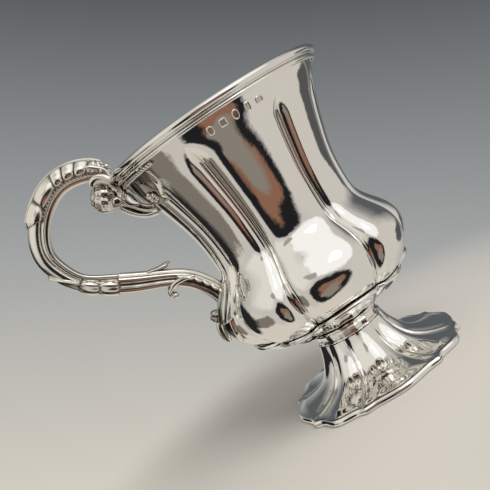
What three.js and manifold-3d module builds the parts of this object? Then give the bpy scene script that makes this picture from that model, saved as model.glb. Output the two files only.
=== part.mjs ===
// A christening mug in sterling silver: a lobed baluster bowl on a spreading lobed foot, with a cast
// leaf-and-scroll handle. Millimetres, +Z up. The handle stands on the -X side, in the plane y = 0,
// and the base of the foot is at z = 0. Places in the handle's plane are [out, height]: out is the
// distance from the bowl's axis towards the handle.
import * as THREE from "three";
import { mergeVertices } from "three/addons/utils/BufferGeometryUtils.js";
import Module from "manifold-3d";

const wasm = await Module();
wasm.setup();

// Bowl
const MUG_HEIGHT = 120;
const MOUTH_RADIUS = 46.4;
const WAIST_RADIUS = 30.8;
const WAIST_HEIGHT = 71;
const BELLY_RADIUS = 40.6;
const BELLY_HEIGHT = 48;
const BOWL_BASE_RADIUS = 18;
const BOWL_BASE_HEIGHT = 30.7;
const SHEET = 0.8;
const CLEARANCE = 0.3;

// Rim moulding: a rounded lip over a small bead
const LIP_SECTION_RADIUS = 1.4;
const BEAD_SECTION_RADIUS = 0.8;
const LIP_PROJECTION = 3.2;
const MOULDING_HEIGHT = 5;

// Lobes: four wide ones centred on the handle's axis and square to it, four narrow ones between
const WIDE_LOBE_DEGREES = 52;
const WIDE_LOBE_STEPS = 8;
const NARROW_LOBE_STEPS = 6;
const LOBE_ROUNDNESS = 2.4;
const WAIST_CREASE = 0.11;
const BELLY_CREASE = 0.115;
const CREASE_FADE_START = 105;
const CREASE_FADE_END = 112.5;

// Calyx, stem rings and collar between the bowl and the foot
const CALYX_RADIUS = 35.4;
const CALYX_CREASE_RADIUS = 33.4;
const CALYX_NARROW_RADIUS = 31.4;
const CALYX_LIP = 1.3;
const CALYX_BORE = 8;
const CALYX_DROP = 2.8;
const STEM_RING_RADIUS = 15;
const STEM_RING_HEIGHT = 1.2;
const COLLAR_TOP_RADIUS = 15.2;
const COLLAR_WAIST_RADIUS = 13.3;
const COLLAR_HEIGHT = 4.8;
const COLLAR_FACETS = 16;
const COLLAR_HOLLOW = 0.985;

// Foot
const FOOT_RADIUS = 38.2;
const FOOT_NECK_RADIUS = 14.3;
const FOOT_TUBE_RADIUS = 11;
const FOOT_WIRE_HEIGHT = 2.7;
const FOOT_WIRE_WIDTH = 2.6;
const FOOT_SCALLOP = 0.06;
const FOOT_WIDE_DRAW = 0.05;
const FOOT_NECK_SCALLOP = 0.02;
const SCALLOP_VALLEY = 0.75;
const SCALLOP_CUSP = 0.5;

// Handle
const HANDLE_REACH = 82;
const HANDLE_BEND_HEIGHT = 108.5;
const HANDLE_RISE = 8.8;
const LEAF_THICKNESS = 0.8;
const LEAF_WRAP_DEGREES = 95;
const LEAF_RELIEF = 0.3;
const BUD_RADIUS = 6.2;
const CURL_RADIUS = 2.5;
const CURL_WIDTH = 9;
const KNOB_RADIUS = 3.1;
const CLASP_HEIGHT = 1.6;
const CLASP_DEPTH = 1.4;
const CLASP_SPREAD_DEGREES = 46;
const ARM_DEPTH = 1.5;
const ARM_WIDTH = 2.1;

const { lerp, degToRad, clamp, smoothstep } = THREE.MathUtils;

// The columns of every lobed piece: the turn from the handle, how far it lies from its lobe's
// centre, 0, to the crease beside it, 1, and whether that lobe is a wide one.
function lobeColumns() {
  const columns = [];
  const wide = degToRad(WIDE_LOBE_DEGREES);
  const narrow = Math.PI / 2 - wide;
  for (let quarter = 0; quarter < 4; quarter++) {
    for (const [start, width, steps, isWide] of [
      [-wide / 2, wide, WIDE_LOBE_STEPS, true],
      [wide / 2, narrow, NARROW_LOBE_STEPS, false],
    ]) {
      for (let step = 0; step < steps; step++) {
        const turn = (quarter * Math.PI) / 2 + start + (width * step) / steps;
        columns.push({ turn, edge: Math.abs((2 * step) / steps - 1), isWide });
      }
    }
  }
  return columns;
}

const LOBE_COLUMNS = lobeColumns();

// How far a turn lies from its lobe's centre, 0, to the crease, 1.
function edgeAt(turn) {
  const wide = degToRad(WIDE_LOBE_DEGREES) / 2;
  const quarter = Math.PI / 2;
  const within = Math.abs(turn - quarter * Math.round(turn / quarter));
  return within < wide ? within / wide : (quarter / 2 - within) / (quarter / 2 - wide);
}

// The share of its radius that the bowl keeps at a crease's depth: the lobes swell between creases.
function bowlLobe({ edge }, height) {
  const belly = smoothstep(height, BELLY_HEIGHT, WAIST_HEIGHT);
  const fade = 1 - smoothstep(height, CREASE_FADE_START, CREASE_FADE_END);
  return 1 - lerp(BELLY_CREASE, WAIST_CREASE, belly) * fade * edge ** LOBE_ROUNDNESS;
}

// The foot's scallops: a broad swell, a valley beside each crease, and a small cusp on the crease.
// The wide swells are drawn in a little at their middle, so the narrow ones reach furthest out.
function footLobe({ edge, isWide }, height) {
  const valley = Math.sin((Math.PI / 2) * Math.min(1, edge / SCALLOP_VALLEY)) ** 2;
  const cusp = Math.max(0, (edge - SCALLOP_VALLEY) / (1 - SCALLOP_VALLEY)) * SCALLOP_CUSP;
  const rise = smoothstep(height, FOOT_WIRE_HEIGHT, FOOT_TOP);
  const drawn = isWide ? FOOT_WIDE_DRAW * (1 - rise) * Math.cos((Math.PI / 2) * edge) ** 2 : 0;
  return 1 - drawn - lerp(FOOT_SCALLOP, FOOT_NECK_SCALLOP, rise) * (valley - cusp);
}

// Spins closed profiles of Vector2(radius, height), up their outside first, round the bowl's axis,
// with each column's profile given by profileAt.
function spinColumns(profileAt, lobe, columns) {
  const profiles = columns.map(profileAt);
  const { length } = profiles[0];
  const geometry = new THREE.LatheGeometry(profiles[0], columns.length);
  const place = geometry.getAttribute("position");
  for (let i = 0; i < place.count; i++) {
    const index = Math.floor(i / length) % columns.length;
    const { turn } = columns[index];
    const { x: radius, y: height } = profiles[index][i % length];
    const out = radius * lobe(columns[index], height);
    place.setXYZ(i, -out * Math.cos(turn), -out * Math.sin(turn), height);
  }
  geometry.computeVertexNormals();
  return geometry;
}

const spin = (profile, lobe = () => 1, columns = LOBE_COLUMNS) =>
  spinColumns(() => profile, lobe, columns);

const point = (radius, height) => new THREE.Vector2(radius, height);
const between = (low, high, radial, axial) =>
  point(lerp(low.x, high.x, radial), lerp(low.y, high.y, axial));

// Points round an arc in a profile, with its angles in degrees from straight out.
function arc(centre, radius, from, to, steps) {
  const points = [];
  for (let i = 0; i <= steps; i++) {
    const angle = degToRad(lerp(from, to, i / steps));
    points.push(point(centre.x + radius * Math.cos(angle), centre.y + radius * Math.sin(angle)));
  }
  return points;
}

const closed = (profile) => [...profile, profile[0].clone()];

// The bowl's outside: base, belly, shoulder, waist, flare and the plain edge under the moulding
const base = point(BOWL_BASE_RADIUS, BOWL_BASE_HEIGHT);
const belly = point(BELLY_RADIUS, BELLY_HEIGHT);
const waist = point(WAIST_RADIUS, WAIST_HEIGHT);
const mouthWall = MOUTH_RADIUS - LIP_PROJECTION;
const mouth = point(mouthWall - CLEARANCE, MUG_HEIGHT - MOULDING_HEIGHT);
const bowlOutline = new THREE.SplineCurve([
  base,
  between(base, belly, 0.43, 0.105),
  between(base, belly, 0.745, 0.35),
  between(base, belly, 0.93, 0.66),
  belly,
  between(belly, waist, 0.18, 0.29),
  between(belly, waist, 0.71, 0.6),
  between(belly, waist, 0.97, 0.82),
  waist,
  between(waist, mouth, 0.08, 0.26),
  between(waist, mouth, 0.3, 0.5),
  between(waist, mouth, 0.62, 0.755),
  between(waist, mouth, 0.9, 0.94),
  point(mouthWall, MUG_HEIGHT - CLEARANCE),
]);
const OUTSIDE_STEPS = 21;
const INSIDE_STEPS = 8;

// A point of the bowl's outside moved square to it: outwards if the distance is positive.
function offsetOutline(share, distance) {
  const at = bowlOutline.getPoint(share);
  const along = bowlOutline.getTangent(share);
  return point(at.x + along.y * distance, at.y - along.x * distance);
}

const outsideSamples = bowlOutline.getPoints(400);

// The bowl's outer radius at a height, in the middle of a lobe.
function bowlRadius(height) {
  const above = outsideSamples.findIndex((sample) => sample.y >= height);
  if (above < 0) return outsideSamples.at(-1).x;
  if (above === 0) return outsideSamples[0].x;
  const [low, high] = [outsideSamples[above - 1], outsideSamples[above]];
  return lerp(low.x, high.x, (height - low.y) / (high.y - low.y));
}

// The share of the way along the outline at which the bowl first has this radius.
const shareOfRadius = (radius) =>
  outsideSamples.findIndex((sample) => sample.x >= radius) / (outsideSamples.length - 1);

function bowl() {
  const outside = bowlOutline.getPoints(OUTSIDE_STEPS);
  const inside = [];
  for (let i = INSIDE_STEPS; i >= 0; i--) inside.push(offsetOutline(i / INSIDE_STEPS, -SHEET));
  return spin(
    [point(0, BOWL_BASE_HEIGHT), ...outside, ...inside, point(0, BOWL_BASE_HEIGHT + SHEET)],
    bowlLobe,
  );
}

function rimMoulding() {
  const lip = point(MOUTH_RADIUS - LIP_SECTION_RADIUS, MUG_HEIGHT - LIP_SECTION_RADIUS);
  const bead = point(
    MOUTH_RADIUS - LIP_PROJECTION / 2 - BEAD_SECTION_RADIUS,
    MUG_HEIGHT - MOULDING_HEIGHT + BEAD_SECTION_RADIUS,
  );
  const seat = mouthWall + CLEARANCE;
  return spin(
    closed([
      point(seat, MUG_HEIGHT - MOULDING_HEIGHT),
      ...arc(bead, BEAD_SECTION_RADIUS, -90, 70, 3),
      ...arc(lip, LIP_SECTION_RADIUS, -70, 90, 4),
      point(seat, MUG_HEIGHT),
    ]),
  );
}

// The scalloped saucer that hugs the underside of the bowl: its lip climbs the wide lobes, and lies
// lower on the narrow ones
const calyxFoot = BOWL_BASE_HEIGHT - CLEARANCE - CALYX_DROP;
function calyxProfile({ edge, isWide }) {
  const middle = isWide ? CALYX_RADIUS : CALYX_NARROW_RADIUS;
  const tip = shareOfRadius(lerp(middle, CALYX_CREASE_RADIUS, edge * edge) - CALYX_LIP);
  const lip = offsetOutline(tip, CLEARANCE + CALYX_LIP / 2);
  const root = point(STEM_RING_RADIUS, calyxFoot);
  return closed([
    point(CALYX_BORE, calyxFoot),
    root,
    between(root, lip, 0.35, 0.14),
    between(root, lip, 0.7, 0.42),
    offsetOutline(tip, CLEARANCE + CALYX_LIP),
    offsetOutline(tip * 1.06, CLEARANCE + CALYX_LIP * 0.6),
    ...[1.04, 0.8, 0.55, 0.28].map((share) => offsetOutline(tip * share, CLEARANCE)),
    point(BOWL_BASE_RADIUS, BOWL_BASE_HEIGHT - CLEARANCE),
    point(CALYX_BORE, BOWL_BASE_HEIGHT - CLEARANCE),
  ]);
}
const calyx = () => spinColumns(calyxProfile, bowlLobe, LOBE_COLUMNS);

// Two thin steps under the calyx, threaded on the foot's tube
const ringTop = calyxFoot - CLEARANCE;
const tubeSeat = FOOT_TUBE_RADIUS + CLEARANCE;
function stemRings() {
  const low = ringTop - STEM_RING_HEIGHT;
  const step = STEM_RING_HEIGHT / 3;
  return spin(
    closed([
      point(tubeSeat, low),
      point(STEM_RING_RADIUS - 1.6, low),
      point(STEM_RING_RADIUS - 0.8, low + step / 2),
      point(STEM_RING_RADIUS - 1.2, low + step),
      point(STEM_RING_RADIUS, low + 2 * step),
      point(STEM_RING_RADIUS, ringTop),
      point(tubeSeat, ringTop),
    ]),
    () => 1,
    facetColumns(),
  );
}

// The collar's columns: a corner, then the hollow middle of a facet
function facetColumns() {
  const columns = [];
  for (let i = 0; i < 2 * COLLAR_FACETS; i++) {
    columns.push({ turn: (Math.PI * i) / COLLAR_FACETS, edge: i % 2 });
  }
  return columns;
}

const collarTop = ringTop - STEM_RING_HEIGHT - CLEARANCE;
const collarFoot = collarTop - COLLAR_HEIGHT;
function collar() {
  const at = (radius, share) => point(radius, lerp(collarFoot, collarTop, share));
  const hollow = ({ edge }, height) =>
    edge && height > collarFoot && height < collarTop ? COLLAR_HOLLOW : 1;
  return spin(
    closed([
      at(tubeSeat, 0),
      at(COLLAR_WAIST_RADIUS + 0.8, 0),
      at(COLLAR_WAIST_RADIUS + 0.8, 0.1),
      at(COLLAR_WAIST_RADIUS, 0.18),
      at(lerp(COLLAR_WAIST_RADIUS, COLLAR_TOP_RADIUS, 0.3), 0.7),
      at(COLLAR_TOP_RADIUS, 0.9),
      at(COLLAR_TOP_RADIUS - 0.3, 1),
      at(tubeSeat, 1),
    ]),
    hollow,
    facetColumns(),
  );
}

// The hollow foot: a lobed trumpet with a tube that runs up through the collar to the calyx
const FOOT_TOP = collarFoot - CLEARANCE;
const footNeck = point(FOOT_NECK_RADIUS, FOOT_TOP);
const footEdge = point(FOOT_RADIUS - 0.6, FOOT_WIRE_HEIGHT + CLEARANCE);
const FOOT_STEPS = 8;
const FOOT_INSIDE_STEPS = 6;
const footOutline = new THREE.SplineCurve([
  footEdge,
  between(footEdge, footNeck, 0.19, 0.028),
  between(footEdge, footNeck, 0.385, 0.073),
  between(footEdge, footNeck, 0.558, 0.147),
  between(footEdge, footNeck, 0.71, 0.26),
  between(footEdge, footNeck, 0.827, 0.418),
  between(footEdge, footNeck, 0.918, 0.61),
  between(footEdge, footNeck, 0.97, 0.814),
  footNeck,
]);

function foot() {
  const inside = [];
  for (let i = FOOT_INSIDE_STEPS; i >= 0; i--) {
    const at = footOutline.getPoint(i / FOOT_INSIDE_STEPS);
    const along = footOutline.getTangent(i / FOOT_INSIDE_STEPS);
    inside.push(point(at.x - along.y * SHEET, Math.max(at.y + along.x * SHEET, footEdge.y)));
  }
  const tubeTop = calyxFoot - CLEARANCE;
  const outside = footOutline.getPoints(FOOT_STEPS);
  const lobe = (column, height) => (height > FOOT_TOP - SHEET / 4 ? 1 : footLobe(column, height));
  outside[0] = point(footEdge.x, footEdge.y + SHEET);
  return spin(
    [
      point(0, tubeTop - SHEET),
      point(FOOT_TUBE_RADIUS - SHEET, tubeTop - SHEET),
      point(FOOT_TUBE_RADIUS - SHEET, FOOT_TOP - SHEET),
      ...inside.slice(1),
      footEdge,
      ...outside,
      point(FOOT_TUBE_RADIUS, FOOT_TOP),
      point(FOOT_TUBE_RADIUS, tubeTop),
      point(0, tubeTop),
    ],
    lobe,
  );
}

// The wire along the edge of the foot, flat underneath where the mug stands
function footWire() {
  const round = FOOT_WIRE_HEIGHT / 2;
  const bulge = point(FOOT_RADIUS - round, round);
  return spin(
    closed([
      point(FOOT_RADIUS - FOOT_WIRE_WIDTH, 0),
      ...arc(bulge, round, -90, 90, 3),
      point(FOOT_RADIUS - FOOT_WIRE_WIDTH, FOOT_WIRE_HEIGHT),
    ]),
    footLobe,
  );
}

// A geometry as a solid that can be cut
function solid(geometry) {
  const plain = geometry.clone();
  for (const name of ["normal", "uv"]) plain.deleteAttribute(name);
  const { attributes, index } = mergeVertices(plain, 1e-4);
  return new wasm.Manifold(
    new wasm.Mesh({
      numProp: 3,
      vertProperties: attributes.position.array,
      triVerts: new Uint32Array(index.array),
    }),
  );
}

// Cuts each tool out of a piece, and keeps the piece's main body.
function carve(piece, ...tools) {
  let left = solid(piece);
  for (const tool of tools) left = left.subtract(solid(tool));
  const bodies = left.decompose().sort((a, b) => b.volume() - a.volume());
  const mesh = bodies[0].getMesh();
  const geometry = new THREE.BufferGeometry();
  geometry.setAttribute("position", new THREE.BufferAttribute(mesh.vertProperties, 3));
  geometry.setIndex(new THREE.BufferAttribute(mesh.triVerts, 1));
  geometry.computeVertexNormals();
  return geometry;
}

// The space of the bowl and its rim moulding with the clearance round them, filled to the axis:
// what is soldered on outside is cut to it, so that each foot has the wall's own curve.
function bowlSpace() {
  const wall = [];
  for (let i = 0; i <= OUTSIDE_STEPS; i++) wall.push(offsetOutline(i / OUTSIDE_STEPS, CLEARANCE));
  const under = MUG_HEIGHT - MOULDING_HEIGHT - CLEARANCE;
  const top = MUG_HEIGHT + CLEARANCE;
  return spin(
    [
      point(0, BOWL_BASE_HEIGHT - CLEARANCE),
      ...wall.filter((at) => at.y < under),
      point(mouthWall, under),
      point(MOUTH_RADIUS - LIP_PROJECTION / 2 + CLEARANCE, under),
      point(MOUTH_RADIUS - LIP_PROJECTION / 2 + CLEARANCE, under + 2 * BEAD_SECTION_RADIUS),
      point(MOUTH_RADIUS + CLEARANCE, MUG_HEIGHT - 2 * LIP_SECTION_RADIUS),
      point(MOUTH_RADIUS + CLEARANCE, top),
      point(0, top),
    ],
    bowlLobe,
  );
}

// Sweeps rings of [across, along the side] points down a curve. The side is square to the curve,
// near the direction that sideAt gives, and across points to the inside of the handle's loop.
function sweep(curve, steps, ringAt, sideAt = () => new THREE.Vector3(0, 1, 0)) {
  const places = [];
  const faces = [];
  let count = 0;
  for (let step = 0; step <= steps; step++) {
    const share = step / steps;
    const centre = curve.getPoint(share);
    const along = curve.getTangent(share);
    const across = sideAt(centre).cross(along).normalize();
    const side = along.clone().cross(across);
    const ring = ringAt(share);
    count = ring.length;
    for (const [n, b] of ring) {
      places.push(...centre.clone().addScaledVector(across, n).addScaledVector(side, b));
    }
  }
  for (let step = 0; step < steps; step++) {
    for (let i = 0; i < count; i++) {
      const a = step * count + i;
      const b = step * count + ((i + 1) % count);
      faces.push(a, b, b + count, a, b + count, a + count);
    }
  }
  const end = steps * count;
  for (let i = 1; i < count - 1; i++) faces.push(0, i + 1, i, end, end + i, end + i + 1);
  const geometry = new THREE.BufferGeometry();
  geometry.setAttribute("position", new THREE.Float32BufferAttribute(places, 3));
  geometry.setIndex(faces);
  geometry.computeVertexNormals();
  return geometry;
}

// An oval ring whose radius swells and dips round it, as reeds do
function oval(depth, width, count, reed = () => 0) {
  const ring = [];
  for (let i = 0; i < count; i++) {
    const angle = (2 * Math.PI * i) / count;
    const size = 1 + reed(i, angle);
    ring.push([depth * size * Math.cos(angle), width * size * Math.sin(angle)]);
  }
  return ring;
}

// A value read off a list of even stations at a share of its length
function station(values, share) {
  const at = clamp(share, 0, 1) * (values.length - 1);
  const low = Math.min(Math.floor(at), values.length - 2);
  return lerp(values[low], values[low + 1], at - low);
}

const inPlane = ([out, height], side = 0) => new THREE.Vector3(-out, side, height);
const planeCurve = (places, side = 0) =>
  new THREE.CatmullRomCurve3(places.map((place) => inPlane(place, side)));

// A bar of oval section along places in the handle's plane, with a half depth and a half width at
// each of even stations
function bar(places, depths, widths, { steps = 8, count = 8, grow = 0, side = 0 } = {}) {
  return sweep(planeCurve(places, side), steps, (share) =>
    oval(station(depths, share) + grow, station(widths, share) + grow, count),
  );
}

// Places that follow the part of the mug they belong to
const shoulder = point(lerp(BELLY_RADIUS, WAIST_RADIUS, 0.5), BELLY_HEIGHT + 9.5);
const fromShoulder = (out, up) => [shoulder.x + out, shoulder.y + up];
const fromMouth = (out, up) => [MOUTH_RADIUS + out, MUG_HEIGHT + up];
const fromBend = (inwards, up) => [HANDLE_REACH - inwards, HANDLE_BEND_HEIGHT + up];

// The handle's centre line, from the bowl's shoulder out to the bend, over the arch and to the rim:
// [place, half depth, half width]
const handleStations = [
  [fromShoulder(-2, -0.4), 3.6, 4.8],
  [fromShoulder(-0.6, 4.2), 3.3, 4.3],
  [fromShoulder(1.9, 9.1), 3.2, 4],
  [fromShoulder(5.5, 13.9), 3.2, 3.9],
  [fromShoulder(11, 18.1), 3.1, 3.8],
  [fromShoulder(16.8, 21.2), 3.3, 3.8],
  [fromShoulder(22.8, 24.2), 3.6, 3.9],
  [fromShoulder(29, 27.7), 3.6, 3.9],
  [fromBend(11.6, -19.7), 3.3, 3.8],
  [fromBend(5.8, -14.9), 3, 3.8],
  [fromBend(1.9, -8.3), 3.4, 4],
  [fromBend(0, 0), 3.8, 4.2],
  [fromBend(3, 8.7), 4.1, 4.4],
  [fromBend(8.5, 15.1), 4.2, 4.7],
  [fromMouth(21.6, HANDLE_RISE - 1.5), 4.2, 4.9],
  [fromMouth(15.6, HANDLE_RISE + 0.4), 4.2, 4.9],
  [fromMouth(9.8, HANDLE_RISE + 0.1), 4.1, 4.8],
  [fromMouth(4.6, HANDLE_RISE - 1.6), 3.8, 4.6],
  [fromMouth(0.7, HANDLE_RISE - 4), 3, 3.8],
  [fromMouth(-2.4, HANDLE_RISE - 6.7), 1.5, 2.4],
];
const handleLine = planeCurve(handleStations.map(([place]) => place));
const handleDepths = handleStations.map(([, depth]) => depth);
const handleWidths = handleStations.map(([, , width]) => width);
const lastStation = handleStations.length - 1;
const JOINT_STATION = 7;
const RING_POINTS = 16;

// Part of the handle's line as a curve of its own, from one station to another
class HandleStretch extends THREE.Curve {
  constructor(from, to) {
    super();
    this.from = from / lastStation;
    this.to = to / lastStation;
  }
  shareOf(t) {
    return lerp(this.from, this.to, t);
  }
  getPoint(t) {
    return handleLine.getPoint(this.shareOf(t));
  }
  getTangent(t) {
    return handleLine.getTangent(this.shareOf(t));
  }
}

// The share of one station's spacing that a gap at the joint takes up
const jointGap =
  CLEARANCE /
  2 /
  handleLine
    .getPoint(JOINT_STATION / lastStation)
    .distanceTo(handleLine.getPoint((JOINT_STATION + 1) / lastStation));

function handleBar(from, to, steps, reed, grow = 0) {
  const stretch = new HandleStretch(from, to);
  return sweep(stretch, steps, (t) => {
    const share = stretch.shareOf(t);
    const depth = station(handleDepths, share) + grow;
    const width = station(handleWidths, share) + grow;
    return oval(depth, width, RING_POINTS, reed);
  });
}

// The arch has a raised bead along its inner and outer edges; the stem has eight reeds.
const beadedEdges = (i, angle) => 0.05 * Math.cos(4 * angle);
const reeded = (i) => (i % 2 ? -0.07 : 0.03);
const upperScroll = (grow) =>
  handleBar(JOINT_STATION + jointGap, lastStation, 28, beadedEdges, grow);
const lowerScroll = (grow) => handleBar(0, JOINT_STATION - jointGap, 16, reeded, grow);

// A leaf sheath on the outside of the handle: overlapping husks, each swelling from its root and
// stepping down at its tip, with scalloped edges. It wraps the handle by an angle to each side.
const HUSK_STEPS = 4;
const HUSK_ROOT = 0.45;
const HUSK_SWELL = 0.75;
const HUSK_WAIST = 0.78;
function sheath(from, to, husks) {
  const stretch = new HandleStretch(from, to);
  const arcSteps = 6;
  return sweep(stretch, husks * HUSK_STEPS, (t) => {
    const share = stretch.shareOf(t);
    const inHusk = (t * husks) % 1;
    const swell = HUSK_ROOT + HUSK_SWELL * Math.sin(Math.PI * lerp(0.15, 0.85, inHusk));
    const wrap = lerp(HUSK_WAIST, 1, Math.sin(Math.PI * inHusk));
    const reach = degToRad(LEAF_WRAP_DEGREES) * wrap;
    const inner = CLEARANCE + LEAF_RELIEF;
    const ring = [];
    for (const [offset, direction] of [
      [inner + LEAF_THICKNESS * swell, 1],
      [inner, -1],
    ]) {
      for (let i = 0; i <= arcSteps; i++) {
        const angle = Math.PI + direction * reach * ((2 * i) / arcSteps - 1);
        const depth = station(handleDepths, share) + offset;
        const width = station(handleWidths, share) + offset;
        ring.push([depth * Math.cos(angle), width * Math.sin(angle)]);
      }
    }
    return ring;
  });
}

const BEND_STATION = 11;
const huskLeaf = () => sheath(JOINT_STATION + 0.1, BEND_STATION - 0.8, 3);
const archLeaf = () => sheath(BEND_STATION + 1.6, lastStation - 1.3, 4);

// The bud that the arch rolls over
const budPlace = fromMouth(3.4, -5.2);
function bud(grow = 0) {
  const geometry = new THREE.SphereGeometry(1, 14, 8);
  geometry.scale(BUD_RADIUS + grow, BUD_RADIUS * 0.86 + grow, BUD_RADIUS + grow);
  return geometry.translate(...inPlane(budPlace));
}

// The rolled scroll below the bud, across the handle
function budCurl(grow = 0) {
  const radius = CURL_RADIUS + grow;
  const half = CURL_WIDTH / 2 + grow;
  const eye = radius * 0.45;
  const profile = [
    point(0, -half + CURL_RADIUS * 0.4),
    point(eye, -half + CURL_RADIUS * 0.4),
    point(eye * 1.2, -half),
    point(radius * 0.85, -half),
    point(radius, -half * 0.8),
    point(radius, half * 0.8),
    point(radius * 0.85, half),
    point(eye * 1.2, half),
    point(eye, half - CURL_RADIUS * 0.4),
    point(0, half - CURL_RADIUS * 0.4),
  ];
  return new THREE.LatheGeometry(profile, 12).translate(...inPlane(fromMouth(1.2, -9.8)));
}

// A leaf that folds down over each side of the bud
const budLeaf = (side) =>
  bar(
    [
      fromMouth(6.6, 2.2),
      fromMouth(3.4, 2.9),
      fromMouth(0.9, 0.6),
      fromMouth(-0.5, -2.6),
      fromMouth(-0.6, -5),
    ],
    [0.9, 1.5, 1.4, 1, 0.3],
    [0.9, 1.2, 1.2, 0.9, 0.3],
    { side: side * (BUD_RADIUS * 0.86 - 0.7) },
  );

// The strut from the bud down to the wall, and the arms that clasp the lobe on each side of it
const strutPlaces = [
  fromMouth(0.4, -10.4),
  fromMouth(-1.9, -13.2),
  fromMouth(-4.2, -16.3),
  fromMouth(-7.2, -18.4),
  fromMouth(-10.4, -19.2),
];
const strut = (grow) =>
  bar(strutPlaces, [3.4, 3, 2.8, 2.5, 2.3], [4.2, 4, 4.1, 4.8, 5.6], { grow, count: 12 });

// A place on the bowl's wall at a turn from the handle, a distance out from it
function onWall(turnDegrees, height, distance) {
  const turn = degToRad(turnDegrees);
  const out = bowlRadius(height) * bowlLobe({ edge: edgeAt(turn) }, height) + distance;
  return new THREE.Vector3(-out * Math.cos(turn), -out * Math.sin(turn), height);
}

const outwards = (place) => new THREE.Vector3(place.x, place.y, 0).normalize();

// A leaf or arm laid on the wall: places are [turn from the handle, height]. Its half thickness
// stands out from the wall and its half width lies along it.
function wallBar(places, side, thicknesses, widths, grow = 0) {
  const curve = new THREE.CatmullRomCurve3(
    places.map(([turn, height]) => onWall(side * turn, height, CLEARANCE + thicknesses[0] * 0.6)),
  );
  const ringAt = (share) =>
    oval(station(widths, share) + grow, station(thicknesses, share) + grow, 8);
  return sweep(curve, 9, ringAt, outwards);
}

const claspTop = MUG_HEIGHT - MOULDING_HEIGHT - CLEARANCE;
const bracketArm = (side) =>
  wallBar(
    [
      [4, MUG_HEIGHT - 19],
      [12, MUG_HEIGHT - 19.2],
      [20.5, MUG_HEIGHT - 18.4],
      [28.5, MUG_HEIGHT - 16],
      [34.5, MUG_HEIGHT - 12.2],
      [36.5, claspTop - CLASP_HEIGHT - 1.2],
      [36, claspTop - CLASP_HEIGHT + 1.2],
    ],
    side,
    [ARM_DEPTH, ARM_DEPTH, ARM_DEPTH * 1.2, ARM_DEPTH, ARM_DEPTH * 0.9],
    [ARM_WIDTH * 1.1, ARM_WIDTH, ARM_WIDTH * 1.2, ARM_WIDTH, ARM_WIDTH],
  );

// The strip under the rim that ties the bud to the arms
function rimClasp(grow = 0) {
  const curve = new THREE.CatmullRomCurve3(
    [-1, -0.6, -0.2, 0.2, 0.6, 1].map((share) =>
      onWall(share * CLASP_SPREAD_DEGREES, claspTop - CLASP_HEIGHT / 2, CLEARANCE + CLASP_DEPTH / 2),
    ),
  );
  const half = CLASP_HEIGHT / 2 + grow;
  const deep = CLASP_DEPTH / 2 + 0.3 + grow;
  const ring = () => oval(half, deep, 6);
  return sweep(curve, 20, ring, outwards);
}

// The leaf tip that lifts off the stem, and the hooked curl below it
const stemSpur = () =>
  bar(
    [
      fromShoulder(18.4, 26.6),
      fromShoulder(14.8, 26),
      fromShoulder(11.2, 24.9),
      fromShoulder(8.6, 23.4),
    ],
    [0.5, 1, 0.9, 0.5],
    [1.4, 2.2, 1.6, 0.5],
  );
const stemCurl = () =>
  bar(
    [
      fromShoulder(3.9, 10.1),
      fromShoulder(7.4, 13.3),
      fromShoulder(10.9, 15.2),
      fromShoulder(13.9, 15.4),
      fromShoulder(15.3, 13.8),
      fromShoulder(14.3, 12.3),
    ],
    [1.4, 1.9, 1.7, 1.5, 1.3, 0.9],
    [2, 3, 2.6, 2.2, 1.8, 1.4],
    { steps: 12 },
  );

// Leaves that spread on the bowl's shoulder from the foot of the stem
const shoulderLeaf = (side) =>
  wallBar(
    [
      [4, shoulder.y - 1.5],
      [12, shoulder.y - 1.4],
      [21, shoulder.y - 0.8],
      [28, shoulder.y],
      [33, shoulder.y + 1.4],
    ],
    side,
    [1.4, 1.3, 1.1, 0.8, 0.4],
    [3, 3.2, 2.6, 1.8, 0.5],
  );

// The knob under the stem, and the tail that curls down from it clear of the belly
const knobPlace = [BELLY_RADIUS + 0.6, BELLY_HEIGHT + 5.4];
function terminalKnob(grow = 0) {
  const geometry = new THREE.SphereGeometry(KNOB_RADIUS + grow, 10, 7);
  return geometry.translate(...inPlane(knobPlace));
}
const terminalTail = () =>
  bar(
    [
      [BELLY_RADIUS + 0.9, BELLY_HEIGHT + 3.4],
      [BELLY_RADIUS + 2.8, BELLY_HEIGHT + 0.8],
      [BELLY_RADIUS + 3.1, BELLY_HEIGHT - 2],
      [BELLY_RADIUS + 2.4, BELLY_HEIGHT - 4.4],
      [BELLY_RADIUS + 1.1, BELLY_HEIGHT - 6],
    ],
    [1.3, 1.5, 1.4, 1.1, 0.5],
    [2.4, 3, 2.8, 2.2, 1],
  );

const POLISHED = { color: 0xd8d5cf, roughness: 0.08, metalness: 1 };
const CAST = { color: 0xcbc4b6, roughness: 0.2, metalness: 1 };

const mug = new THREE.Group();
function add(name, geometry, finish) {
  const mesh = new THREE.Mesh(geometry, new THREE.MeshStandardMaterial(finish));
  mesh.name = name;
  mug.add(mesh);
}

add("bowl", bowl(), POLISHED);
add("rim_moulding", rimMoulding(), POLISHED);
add("calyx", calyx(), POLISHED);
add("stem_rings", stemRings(), POLISHED);
add("collar", collar(), POLISHED);
add("foot", foot(), POLISHED);
add("foot_wire", footWire(), POLISHED);

const wallSpace = bowlSpace();
const archSpace = upperScroll(CLEARANCE);
const stemSpace = lowerScroll(CLEARANCE);
const claspSpace = rimClasp(CLEARANCE);
const budSpace = bud(CLEARANCE);
const curlSpace = budCurl(CLEARANCE);
const strutSpace = strut(CLEARANCE);
const knobSpace = terminalKnob(CLEARANCE);

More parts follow.
